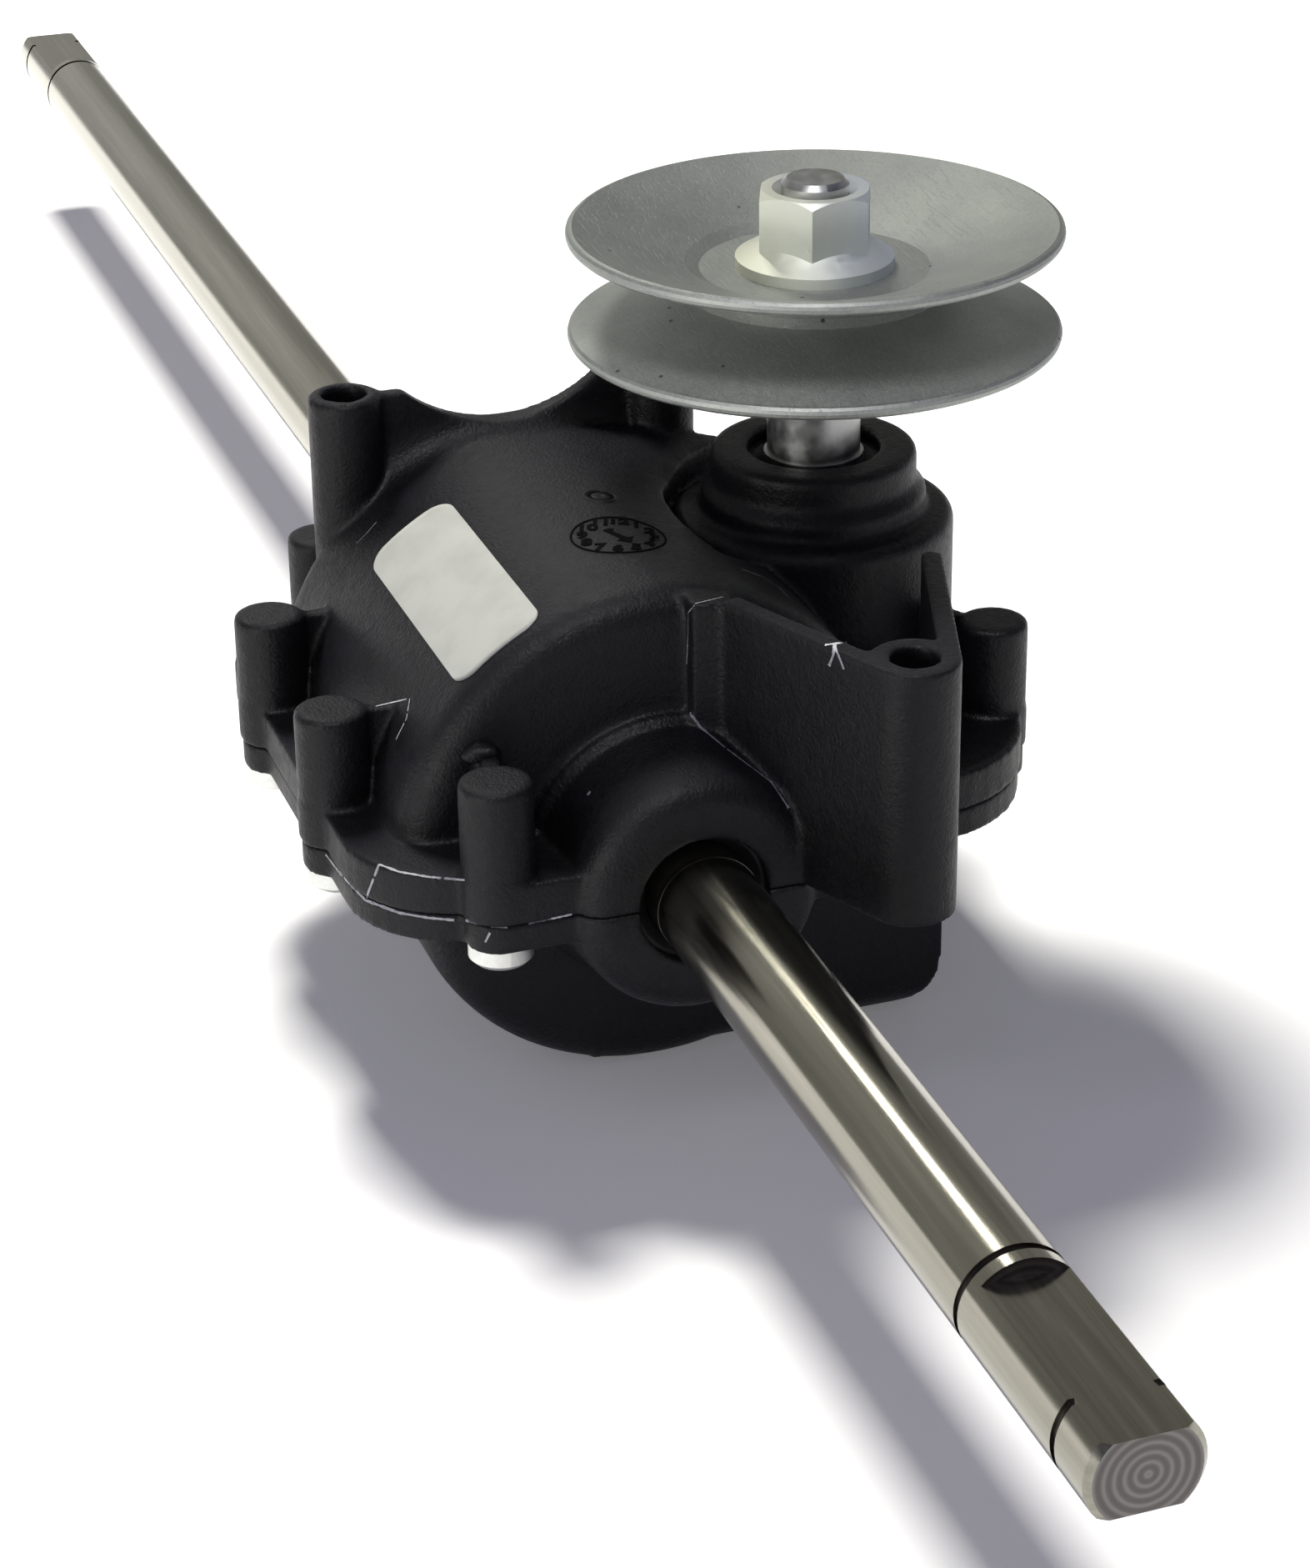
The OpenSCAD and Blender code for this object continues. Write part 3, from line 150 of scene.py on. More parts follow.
def new_material(name):
    """Empty material with its node tree, its output and object coordinates in metres."""
    material = bpy.data.materials.new(name)
    material.use_nodes = True
    tree = material.node_tree
    tree.nodes.clear()
    out = add(tree, "ShaderNodeOutputMaterial", at=(900, 0))
    place = add(tree, "ShaderNodeTexCoord", at=(-1200, 0)).outputs["Object"]
    return material, tree, out, place


def glass_filled_nylon(black):
    """Polyamide with glass fibre, injection moulded in a spark-eroded mould: near black, with a satin sheen that
    breaks into fine bright grains on rounded edges, and patches that are a little duller than the rest."""
    material, tree, out, place = new_material("moulded_glass_filled_nylon")
    # the mould's grain is 0.2 mm wide, drawn at 0.5 mm so that it shows
    fine = add(tree, "ShaderNodeTexNoise", {"Scale": grain(0.5), "Detail": 2.0, "Roughness": 0.6},
               {"Vector": place}, (-800, 200))
    fibre = add(tree, "ShaderNodeTexNoise", {"Scale": grain(1.6), "Detail": 3.0, "Roughness": 0.7},
                {"Vector": place}, (-800, -50))
    broad = add(tree, "ShaderNodeTexNoise", {"Scale": grain(16), "Detail": 3.0, "Roughness": 0.6},
                {"Vector": place}, (-800, -300))
    rubbed = tuple(c * 1.9 for c in black) + (1.0,)
    colour = add(tree, "ShaderNodeValToRGB", {"stops": [(0.35, tuple(black) + (1.0,)), (0.75, rubbed)]},
                 {"Fac": broad}, (-400, 300))
    both = add(tree, "ShaderNodeMath", {"operation": "ADD"}, {0: fibre, 1: broad}, (-600, -150))
    mean = add(tree, "ShaderNodeMath", {"operation": "MULTIPLY", 1: 0.5}, {0: both}, (-500, -150))
    rough = add(tree, "ShaderNodeValToRGB", {"stops": [(0.35, grey(0.40)), (0.7, grey(0.60))]},
                {"Fac": mean}, (-400, 0))
    rise = add(tree, "ShaderNodeBump", {"Strength": 1.0, "Distance": 0.13 * MM}, {"Height": fine}, (100, -300))
    rise = add(tree, "ShaderNodeBump", {"Strength": 0.7, "Distance": 0.2 * MM},
               {"Height": fibre, "Normal": rise}, (300, -300))
    shader = add(tree, "ShaderNodeBsdfPrincipled", {"IOR": 1.53, "Specular IOR Level": 0.22},
                 {"Base Color": colour, "Roughness": rough, "Normal": rise}, (600, 0))
    tree.links.new(shader.outputs[0], out.inputs["Surface"])
    return material


def engraved_nylon():
    """The same nylon where a rougher insert of the mould has left it dull, and painted darker than the nylon as shade
    round the raised marks.
    """
    material, tree, out, place = new_material("dull_nylon_with_painted_shade")
    fine = add(tree, "ShaderNodeTexNoise", {"Scale": grain(0.4), "Detail": 2.0}, {"Vector": place}, (-800, 0))
    # painted shade: near black, darker than the nylon, for the shadows round the dial's raised marks and in the
    # ejector's hollow
    colour = add(tree, "ShaderNodeValToRGB", {"stops": [(0.3, linear("#040404")), (0.7, linear("#080809"))]},
                 {"Fac": fine}, (-400, 200))
    rise = add(tree, "ShaderNodeBump", {"Strength": 0.4, "Distance": 0.05 * MM}, {"Height": fine}, (200, -300))
    shader = add(tree, "ShaderNodeBsdfPrincipled", {"IOR": 1.53, "Specular IOR Level": 0.05, "Roughness": 0.8},
                 {"Base Color": colour, "Normal": rise}, (600, 0))
    tree.links.new(shader.outputs[0], out.inputs["Surface"])
    return material


def scraped_nylon():
    """Nylon scraped white by handling, and also pale lines of painted highlight on edges that catch the light: pale
    grey, matt, broken up.
    """
    material, tree, out, place = new_material("scraped_nylon")
    crumbs = add(tree, "ShaderNodeTexNoise", {"Scale": grain(0.7), "Detail": 3.0, "Roughness": 0.7},
                 {"Vector": place}, (-800, 0))
    colour = add(tree, "ShaderNodeValToRGB",
                 {"stops": [(0.28, linear("#7c7c80")), (0.42, linear("#c0c0c4")), (0.7, linear("#dedee2"))]},
                 {"Fac": crumbs}, (-400, 200))
    rise = add(tree, "ShaderNodeBump", {"Strength": 0.6, "Distance": 0.05 * MM}, {"Height": crumbs}, (200, -300))
    shader = add(tree, "ShaderNodeBsdfPrincipled", {"IOR": 1.53, "Roughness": 0.7},
                 {"Base Color": colour, "Normal": rise}, (600, 0))
    tree.links.new(shader.outputs[0], out.inputs["Surface"])
    return material


def label_film():
    """Self-adhesive polyester label: off-white, with a faint grey cast where it has been handled."""
    material, tree, out, place = new_material("bare_polyester_label")
    touch = add(tree, "ShaderNodeTexNoise", {"Scale": grain(7), "Detail": 4.0, "Roughness": 0.6},
                {"Vector": place}, (-800, 200))
    weave = add(tree, "ShaderNodeTexNoise", {"Scale": grain(0.6), "Detail": 2.0}, {"Vector": place}, (-800, -100))
    colour = add(tree, "ShaderNodeValToRGB", {"stops": [(0.3, linear("#b3b5af")), (0.6, linear("#bfc1bb"))]},
                 {"Fac": touch}, (-400, 200))
    rough = add(tree, "ShaderNodeValToRGB", {"stops": [(0.3, grey(0.42)), (0.7, grey(0.55))]},
                {"Fac": touch}, (-400, 0))
    rise = add(tree, "ShaderNodeBump", {"Strength": 0.2, "Distance": 0.02 * MM}, {"Height": weave}, (200, -300))
    shader = add(tree, "ShaderNodeBsdfPrincipled", {"IOR": 1.5},
                 {"Base Color": colour, "Roughness": rough, "Normal": rise}, (600, 0))
    tree.links.new(shader.outputs[0], out.inputs["Surface"])
    return material


def zinc_sheet():
    """Pressed mild steel sheet, bright zinc plated: cool grey with a greenish cast, a fine mottle left by the
    plating, dark specks, and handling scratches in every direction."""
    material, tree, out, place = new_material("zinc_plated_pressed_steel")
    cloud = add(tree, "ShaderNodeTexNoise", {"Scale": grain(12), "Detail": 4.0, "Roughness": 0.6},
                {"Vector": place}, (-800, 500))
    # the plating's crystals are finer than 0.1 mm, drawn at 0.5 mm so that they show
    mottle = add(tree, "ShaderNodeTexNoise", {"Scale": grain(0.5), "Detail": 3.0, "Roughness": 0.65},
                 {"Vector": place}, (-800, 250))
    both = add(tree, "ShaderNodeMix", {"data_type": "FLOAT", "Factor": 0.62},
               {NUMBER_A: cloud, NUMBER_B: mottle}, (-600, 400))
    speck = add(tree, "ShaderNodeTexVoronoi", {"Scale": grain(7)}, {"Vector": place}, (-800, 750))
    speck = add(tree, "ShaderNodeValToRGB", {"stops": [(0.035, grey(0.35)), (0.06, grey(1))]},
                {"Fac": speck}, (-600, 750))
    colour = add(tree, "ShaderNodeValToRGB",
                 {"stops": [(0.32, linear("#959a99")), (0.5, linear("#a5a8a4")), (0.68, linear("#b4b7b1"))]},
                 {"Fac": both}, (-400, 400))
    colour = add(tree, "ShaderNodeMix", {"data_type": "RGBA", "blend_type": "MULTIPLY", "Factor": 1.0},
                 {COLOUR_A: colour, COLOUR_B: speck}, (-200, 500))
    rough = add(tree, "ShaderNodeValToRGB", {"stops": [(0.35, grey(0.52)), (0.7, grey(0.64))]},
                {"Fac": mottle}, (-400, 100))
    rise = add(tree, "ShaderNodeBump", {"Strength": 0.5, "Distance": 0.03 * MM}, {"Height": mottle}, (0, -300))
    for turn, row in ((20, -300), (75, -600), (140, -900)):
        way = add(tree, "ShaderNodeMapping", {"Rotation": (0, 0, math.radians(turn)), "Scale": (0.04, 1, 1)},
                  {"Vector": place}, (-1000, row))
        streak = add(tree, "ShaderNodeTexNoise", {"Scale": grain(0.5), "Detail": 2.0, "Roughness": 0.7},
                     {"Vector": way}, (-800, row))
        scratch = add(tree, "ShaderNodeValToRGB", {"stops": [(0.63, grey(0)), (0.69, grey(1))]},
                      {"Fac": streak}, (-400, row))
        rise = add(tree, "ShaderNodeBump", {"Strength": 0.6, "Distance": 0.05 * MM, "invert": True},
                   {"Height": scratch, "Normal": rise}, (200, row))
    shader = add(tree, "ShaderNodeBsdfPrincipled", {"Metallic": 1.0},
                 {"Base Color": colour.outputs[MIXED_COLOUR], "Roughness": rough, "Normal": rise}, (600, 0))
    tree.links.new(shader.outputs[0], out.inputs["Surface"])
    return material


def zinc_nut():
    """Cold-formed steel nut, zinc plated and passivated: bright, with a thin film whose straw yellow turns to silver
    and then blue across the nut, darkening towards the side away from the lamps as painted shade, and small dents from
    the socket."""
    material, tree, out, place = new_material("passivated_zinc_nut")
    tint_and_shade_width = 26 * MM
    film = add(tree, "ShaderNodeTexNoise", {"Scale": grain(22), "Detail": 2.0}, {"Vector": place}, (-1000, 500))
    across = add(tree, "ShaderNodeSeparateXYZ", links={0: place}, at=(-1000, 250))
    # colour runs along Y across the nut: partly the film's tint, partly painted shade that darkens the side away from
    # the lamps
    tint_and_shade = add(tree, "ShaderNodeMath",
                {"operation": "MULTIPLY_ADD", 1: 1 / tint_and_shade_width, 2: 0.5 - SHAFT_Y / tint_and_shade_width},
                {0: across.outputs["Y"]}, (-800, 250))
    tint_and_shade = add(tree, "ShaderNodeMix", {"data_type": "FLOAT", "Factor": 0.3},
                {NUMBER_A: tint_and_shade, NUMBER_B: film}, (-600, 300))
    colour = add(tree, "ShaderNodeValToRGB",
                 {"stops": [(0.15, linear("#f0f1da")), (0.4, linear("#eaece2")), (0.6, linear("#dce2e4")),
                            (0.8, linear("#cfd5e6"))]},
                 {"Fac": tint_and_shade}, (-400, 300))
    mark = add(tree, "ShaderNodeTexNoise", {"Scale": grain(1.2), "Detail": 3.0, "Roughness": 0.6},
               {"Vector": place}, (-800, 0))
    rough = add(tree, "ShaderNodeValToRGB", {"stops": [(0.3, grey(0.44)), (0.7, grey(0.56))]},
                {"Fac": mark}, (-400, 0))
    dent = add(tree, "ShaderNodeTexVoronoi", {"Scale": grain(3.5)}, {"Vector": place}, (-800, -300))
    pit = add(tree, "ShaderNodeValToRGB", {"stops": [(0.02, grey(0)), (0.1, grey(1))]}, {"Fac": dent}, (-400, -300))
    rise = add(tree, "ShaderNodeBump", {"Strength": 0.3, "Distance": 0.03 * MM}, {"Height": mark}, (100, -300))
    rise = add(tree, "ShaderNodeBump", {"Strength": 0.4, "Distance": 0.08 * MM},
               {"Height": pit, "Normal": rise}, (300, -300))
    shader = add(tree, "ShaderNodeBsdfPrincipled", {"Metallic": 1.0},
                 {"Base Color": colour, "Roughness": rough, "Normal": rise}, (600, 0))
    tree.links.new(shader.outputs[0], out.inputs["Surface"])
    return material


def ground_bar():
    """Cold-drawn steel bar, centreless ground and oiled: olive grey, with fine rings round it that draw a lamp out
    along the bar, faint lengthwise rubs, and turned rings on its end faces."""
    material, tree, out, place = new_material("ground_steel_bar")
    along = add(tree, "ShaderNodeMapping", {"Scale": (1, 0.03, 0.03)}, {"Vector": place}, (-1000, 0))
    # grinding rings of 0.05 mm, drawn at 0.4 mm so that they show
    rings = add(tree, "ShaderNodeTexNoise", {"Scale": grain(0.4), "Detail": 2.0, "Roughness": 0.6},
                {"Vector": along}, (-800, 0))
    rub_way = add(tree, "ShaderNodeMapping", {"Scale": (0.03, 1, 1)}, {"Vector": place}, (-1000, 300))
    rubs = add(tree, "ShaderNodeTexNoise", {"Scale": grain(1.5), "Detail": 3.0, "Roughness": 0.6},
               {"Vector": rub_way}, (-800, 300))
    colour = add(tree, "ShaderNodeValToRGB",
                 {"stops": [(0.3, linear("#939185")), (0.55, linear("#9f9c90")), (0.75, linear("#aca99d"))]},
                 {"Fac": rubs}, (-400, 300))
    rough = add(tree, "ShaderNodeValToRGB", {"stops": [(0.35, grey(0.15)), (0.65, grey(0.21))]},
                {"Fac": rubs}, (-400, 0))
    # rings left by the lathe, by the distance from the axle's middle line
    turned_pitch = 1.25 * MM
    centre = add(tree, "ShaderNodeVectorMath", {"operation": "SUBTRACT", 1: (0, 0, AXLE_Z)}, {0: place}, (-1000, -300))
    flat = add(tree, "ShaderNodeVectorMath", {"operation": "MULTIPLY", 1: (0, 1, 1)}, {0: centre}, (-800, -300))
    radius = add(tree, "ShaderNodeVectorMath", {"operation": "LENGTH"}, {0: flat}, (-600, -300)).outputs["Value"]
    phase = add(tree, "ShaderNodeMath", {"operation": "MULTIPLY", 1: 2 * math.pi / turned_pitch},
                {0: radius}, (-500, -300))
    turned = add(tree, "ShaderNodeMath", {"operation": "SINE"}, {0: phase}, (-400, -300))
    face = add(tree, "ShaderNodeNewGeometry", at=(-1000, -600))
    facing = add(tree, "ShaderNodeSeparateXYZ", links={0: face.outputs["True Normal"]}, at=(-800, -600))
    end_on = add(tree, "ShaderNodeMath", {"operation": "ABSOLUTE"}, {0: facing.outputs["X"]}, (-600, -600))
    on_end = add(tree, "ShaderNodeMath", {"operation": "GREATER_THAN", 1: 0.9}, {0: end_on}, (-400, -600))
    # the sawn and turned end faces have gone dull
    ringed = add(tree, "ShaderNodeMath", {"operation": "MULTIPLY_ADD", 1: 0.5, 2: 0.5}, {0: turned}, (-300, -100))
    dulled = add(tree, "ShaderNodeValToRGB",
                 {"stops": [(0.1, linear("#615e5d")), (0.6, linear("#6b6866")), (0.95, linear("#7b7876"))]},
                 {"Fac": ringed}, (-200, 0))
    colour = add(tree, "ShaderNodeMix", {"data_type": "RGBA"},
                 {"Factor": on_end, COLOUR_A: colour, COLOUR_B: dulled}, (-100, 300))
    rise = add(tree, "ShaderNodeBump", {"Strength": 0.12, "Distance": 0.01 * MM}, {"Height": rings}, (100, -300))
    depth = add(tree, "ShaderNodeMath", {"operation": "MULTIPLY", 1: 0.25}, {0: on_end}, (-200, -600))
    rise = add(tree, "ShaderNodeBump", {"Distance": 0.05 * MM},
               {"Height": turned, "Strength": depth, "Normal": rise}, (300, -300))
    shader = add(tree, "ShaderNodeBsdfPrincipled", {"Metallic": 1.0},
                 {"Base Color": colour.outputs[MIXED_COLOUR], "Roughness": rough, "Normal": rise}, (600, 0))
    tree.links.new(shader.outputs[0], out.inputs["Surface"])
    return material


def plain_metal(name, low, high, rough_low, rough_high, size_mm):
    """Metal whose tone and polish wander gently, for the turned, ground and plated pieces."""
    material, tree, out, place = new_material(name)
    wander = add(tree, "ShaderNodeTexNoise", {"Scale": grain(size_mm), "Detail": 3.0}, {"Vector": place}, (-800, 0))
    colour = add(tree, "ShaderNodeValToRGB", {"stops": [(0.3, linear(low)), (0.7, linear(high))]},
                 {"Fac": wander}, (-400, 300))
    rough = add(tree, "ShaderNodeValToRGB", {"stops": [(0.3, grey(rough_low)), (0.7, grey(rough_high))]},
                {"Fac": wander}, (-400, 0))
    rise = add(tree, "ShaderNodeBump", {"Strength": 0.2, "Distance": 0.01 * MM}, {"Height": wander}, (200, -300))
    shader = add(tree, "ShaderNodeBsdfPrincipled", {"Metallic": 1.0},
                 {"Base Color": colour, "Roughness": rough, "Normal": rise}, (600, 0))
    tree.links.new(shader.outputs[0], out.inputs["Surface"])
    return material


def seal_rubber():
    """Nitrile rubber, moulded: dull black with a soft sheen."""
    material, tree, out, place = new_material("moulded_nitrile_rubber")
    fine = add(tree, "ShaderNodeTexNoise", {"Scale": grain(0.6), "Detail": 2.0}, {"Vector": place}, (-800, 0))
    colour = add(tree, "ShaderNodeValToRGB", {"stops": [(0.3, linear("#0b0b0c")), (0.7, linear("#131315"))]},
                 {"Fac": fine}, (-400, 300))
    rough = add(tree, "ShaderNodeValToRGB", {"stops": [(0.3, grey(0.5)), (0.7, grey(0.65))]},
                {"Fac": fine}, (-400, 0))
    rise = add(tree, "ShaderNodeBump", {"Strength": 0.4, "Distance": 0.03 * MM}, {"Height": fine}, (200, -300))
    shader = add(tree, "ShaderNodeBsdfPrincipled", {"IOR": 1.52},
                 {"Base Color": colour, "Roughness": rough, "Normal": rise}, (600, 0))
    tree.links.new(shader.outputs[0], out.inputs["Surface"])
    return material


def dress(node, material):
    """Gives a CAD node its finish."""
    slots = NODES[node].data.materials
    slots.clear()
    slots.append(material)


def soften(node, voxel, passes, kept):
    """Rounds a moulded CAD node's edges by modifiers that leave its mesh as it is."""
    remesh = NODES[node].modifiers.new("mould detail", "REMESH")
    remesh.mode = "VOXEL"
    remesh.voxel_size = voxel
    remesh.use_smooth_shade = True
    rounds = NODES[node].modifiers.new("mould rounds", "SMOOTH")
    rounds.factor = 0.5
    rounds.iterations = passes
    fewer = NODES[node].modifiers.new("fewer faces", "DECIMATE")
    fewer.ratio = kept


# Placing small pieces on the housing

def housing_skins():
    """Search trees of both housing halves as they show, with their rounded edges."""
    graph = bpy.context.evaluated_depsgraph_get()
    return [BVHTree.FromObject(NODES[node], graph) for node in ("upper_housing", "lower_cover")]


def nearest_hit(skins, start, way):
    """First place and outward normal that a ray meets on the housing."""
    found = [skin.ray_cast(start, way) for skin in skins]
    found = [hit for hit in found if hit[0] is not None]
    if not found:
        return None
    place, normal, _, _ = min(found, key=lambda hit: hit[3])
    return place, (normal if normal.dot(way) < 0 else -normal)


def seen_at(skins, u, v):
    """Place on the housing that a pixel of the photograph shows."""
    camera = bpy.context.scene.camera
    focal = bpy.context.scene.transmission_stage.focal_px
    way = camera.matrix_world.to_3x3() @ Vector(((u - PHOTO_WIDTH / 2) / focal, (PHOTO_HEIGHT / 2 - v) / focal, -1))
    return nearest_hit(skins, camera.matrix_world.translation, way.normalized())


def piece(name, mesh, material, smooth=True):
    """Object on the housing body, with its finish."""
    for face in mesh.polygons:
        face.use_smooth = smooth
    mesh.materials.append(material)
    made = bpy.data.objects.new(name, mesh)
    bpy.context.scene.collection.objects.link(made)
    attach(made, "housing")
    return made


def as_mesh(name, corners, faces):
    """Mesh from its corners and faces."""
    mesh = bpy.data.meshes.new(name)
    mesh.from_pydata([tuple(c) for c in corners], [], faces)
    mesh.validate()
    return mesh


def wrapped(skins, name, flat, faces, centre):
    """Flat drawing of (x, y, height) in metres, laid on the housing from above around a centre."""
    above_housing = 0.2
    corners = []
    for x, y, height in flat:
        place, normal = nearest_hit(skins, Vector((centre[0] + x, centre[1] + y, above_housing)), Vector((0, 0, -1)))
        corners.append(place + normal * height)
    return as_mesh(name, corners, faces)


# Pieces

class TRANSMISSION_OT_housing(bpy.types.Operator):
    """Moulded housing halves, with the soft edges of moulded nylon"""
    bl_idname = "transmission.housing"
    bl_label = "Moulded Housing"

    def execute(self, context):
        settings = context.scene.transmission_housing
        nylon = glass_filled_nylon(settings.black)
        for node in ("upper_housing", "lower_cover"):
            dress(node, nylon)
            soften(node, settings.voxel, settings.rounds, settings.kept)
        return {"FINISHED"}


class TRANSMISSION_OT_label(bpy.types.Operator):
    """Bare label on the drum"""
    bl_idname = "transmission.label"
    bl_label = "Bare Label"

    # middle of the label: along the axle, and its angle from the top of the drum
    middle_x = 13.7 * MM
    middle_angle = math.radians(34.2)
    corner = 3.4 * MM
    drum_r = 38.0 * MM
    lift_mm = 0.09
    thickness = 0.12 * MM
    rows, columns = 24, 40

    def execute(self, context):
        marks = context.scene.transmission_marks
        skins = housing_skins()
        corners = []
        for j in range(self.rows + 1):
            # rows crowd towards the long edges, where the corners are round
            across = -math.cos(math.pi * j / self.rows) / 2
            inset = max(0.0, self.corner - (0.5 - abs(across)) * marks.label_width)
            half = marks.label_length / 2 - self.corner + math.sqrt(self.corner ** 2 - inset ** 2)
            angle = self.middle_angle + across * marks.label_width / self.drum_r
            out = Vector((0, -math.sin(angle), math.cos(angle)))
            for i in range(self.columns + 1):
                x = self.middle_x + half * (2 * i / self.columns - 1)
                place, _ = nearest_hit(skins, Vector((x, 0, AXLE_Z)) + out * 3 * self.drum_r, -out)
                corners.append(place + out * self.lift_mm * MM)
        pitch = self.columns + 1
        faces = [(j * pitch + i, j * pitch + i + 1, (j + 1) * pitch + i + 1, (j + 1) * pitch + i)
                 for j in range(self.rows) for i in range(self.columns)]
        label = piece("label", as_mesh("label", corners, faces), label_film())
        film = label.modifiers.new("film", "SOLIDIFY")
        film.thickness = self.thickness
        film.offset = 0
        return {"FINISHED"}


class TRANSMISSION_OT_dial(bpy.types.Operator):
    """Moulded month dial and ejector mark on the drum, darkened with painted shade"""
    bl_idname = "transmission.dial"
    bl_label = "Mould Marks"

    dial_at = (19.0 * MM, 2.2 * MM)
    ejector_at = (3.8 * MM, 4.6 * MM)
    # the dial's top points away from the photograph's camera
    turn = PHOTO_AZIMUTH
    # sizes against the dial's radius: rim's inside, numbers' circle, numbers' height, arrow
    rim_inside, number_circle, number_size, arrow_size = 0.94, 0.74, 0.44, 0.6
    # a bent shaft with a head
    arrow = [(-0.52, 0.34), (-0.34, 0.52), (-0.16, 0.48), (-0.22, 0.30), (0.30, -0.24),
             (0.52, -0.10), (0.46, -0.66), (-0.02, -0.52), (0.14, -0.38), (-0.36, 0.16)]

    def turned(self, x, y, height):
        """Corner of the dial's drawing, turned with the dial."""
        spot = Matrix.Rotation(self.turn, 3, "Z") @ Vector((x, y, 0))
        return spot.x, spot.y, height

    def ring(self, skins, name, centre, inner, outer, height, material):
        """Low ring with sloping flanks that start under the housing's surface."""
        steps = 72
        sunk = -0.3
        profile = ((inner, sunk), (inner * 0.75 + outer * 0.25, 1), (inner * 0.25 + outer * 0.75, 1), (outer, sunk))
        flat = [(r * math.cos(2 * math.pi * k / steps), r * math.sin(2 * math.pi * k / steps), level * height)
                for r, level in profile for k in range(steps)]
        faces = [(a * steps + k, a * steps + (k + 1) % steps, (a + 1) * steps + (k + 1) % steps, (a + 1) * steps + k)
                 for a in range(len(profile) - 1) for k in range(steps)]
        piece(name, wrapped(skins, name, flat, faces, centre), material)

    def number(self, skins, value, size, place, height, material):
        """Plain number of the dial, standing proud of the drum."""
        curve = bpy.data.curves.new("number", "FONT")
        curve.body = str(value)
        curve.size = size
        curve.align_x = curve.align_y = "CENTER"
        curve.extrude = height
        curve.offset = size * 0.05
        holder = bpy.data.objects.new("number", curve)
        mesh = bpy.data.meshes.new_from_object(holder)
        bpy.data.objects.remove(holder)
        flat = [self.turned(place[0] + vertex.co.x, place[1] + vertex.co.y, vertex.co.z) for vertex in mesh.vertices]
        faces = [tuple(face.vertices) for face in mesh.polygons]
        name = f"dial_number_{value}"
        piece(name, wrapped(skins, name, flat, faces, self.dial_at), material, smooth=False)

    def execute(self, context):
        radius = context.scene.transmission_marks.dial_d / 2
        skins = housing_skins()
        # the marks' nylon is dull, and its dark colour is painted shade round the raised marks
        dull = engraved_nylon()
        self.ring(skins, "dial_rim", self.dial_at, radius * self.rim_inside, radius, 0.16 * MM, dull)
        circle = radius * self.number_circle
        for value in range(1, 13):
            angle = math.radians(90 - 30 * value)
            place = (circle * math.cos(angle), circle * math.sin(angle))
            self.number(skins, value, radius * self.number_size, place, 0.1 * MM, dull)
        flat = [self.turned(x * radius * self.arrow_size, y * radius * self.arrow_size, height)
                for height in (-0.03 * MM, 0.12 * MM) for x, y in self.arrow]
        count = len(self.arrow)
        faces = [tuple(range(count, 2 * count))]
        faces += [(k, (k + 1) % count, count + (k + 1) % count, count + k) for k in range(count)]
        arrow = wrapped(skins, "dial_arrow", flat, faces, self.dial_at)
        piece("dial_arrow", arrow, dull, smooth=False)
        nylon = bpy.data.materials["moulded_glass_filled_nylon"]
        self.ring(skins, "ejector_rim", self.ejector_at, 2.0 * MM, 2.7 * MM, 0.22 * MM, nylon)
        # dark ring of painted shade for the shadowed wall of the ejector's hollow
        self.ring(skins, "ejector_painted_shade", self.ejector_at, 1.2 * MM, 2.3 * MM, 0.08 * MM, dull)
        self.ring(skins, "ejector_boss", self.ejector_at, 0.1 * MM, 1.5 * MM, 0.16 * MM, nylon)
        return {"FINISHED"}


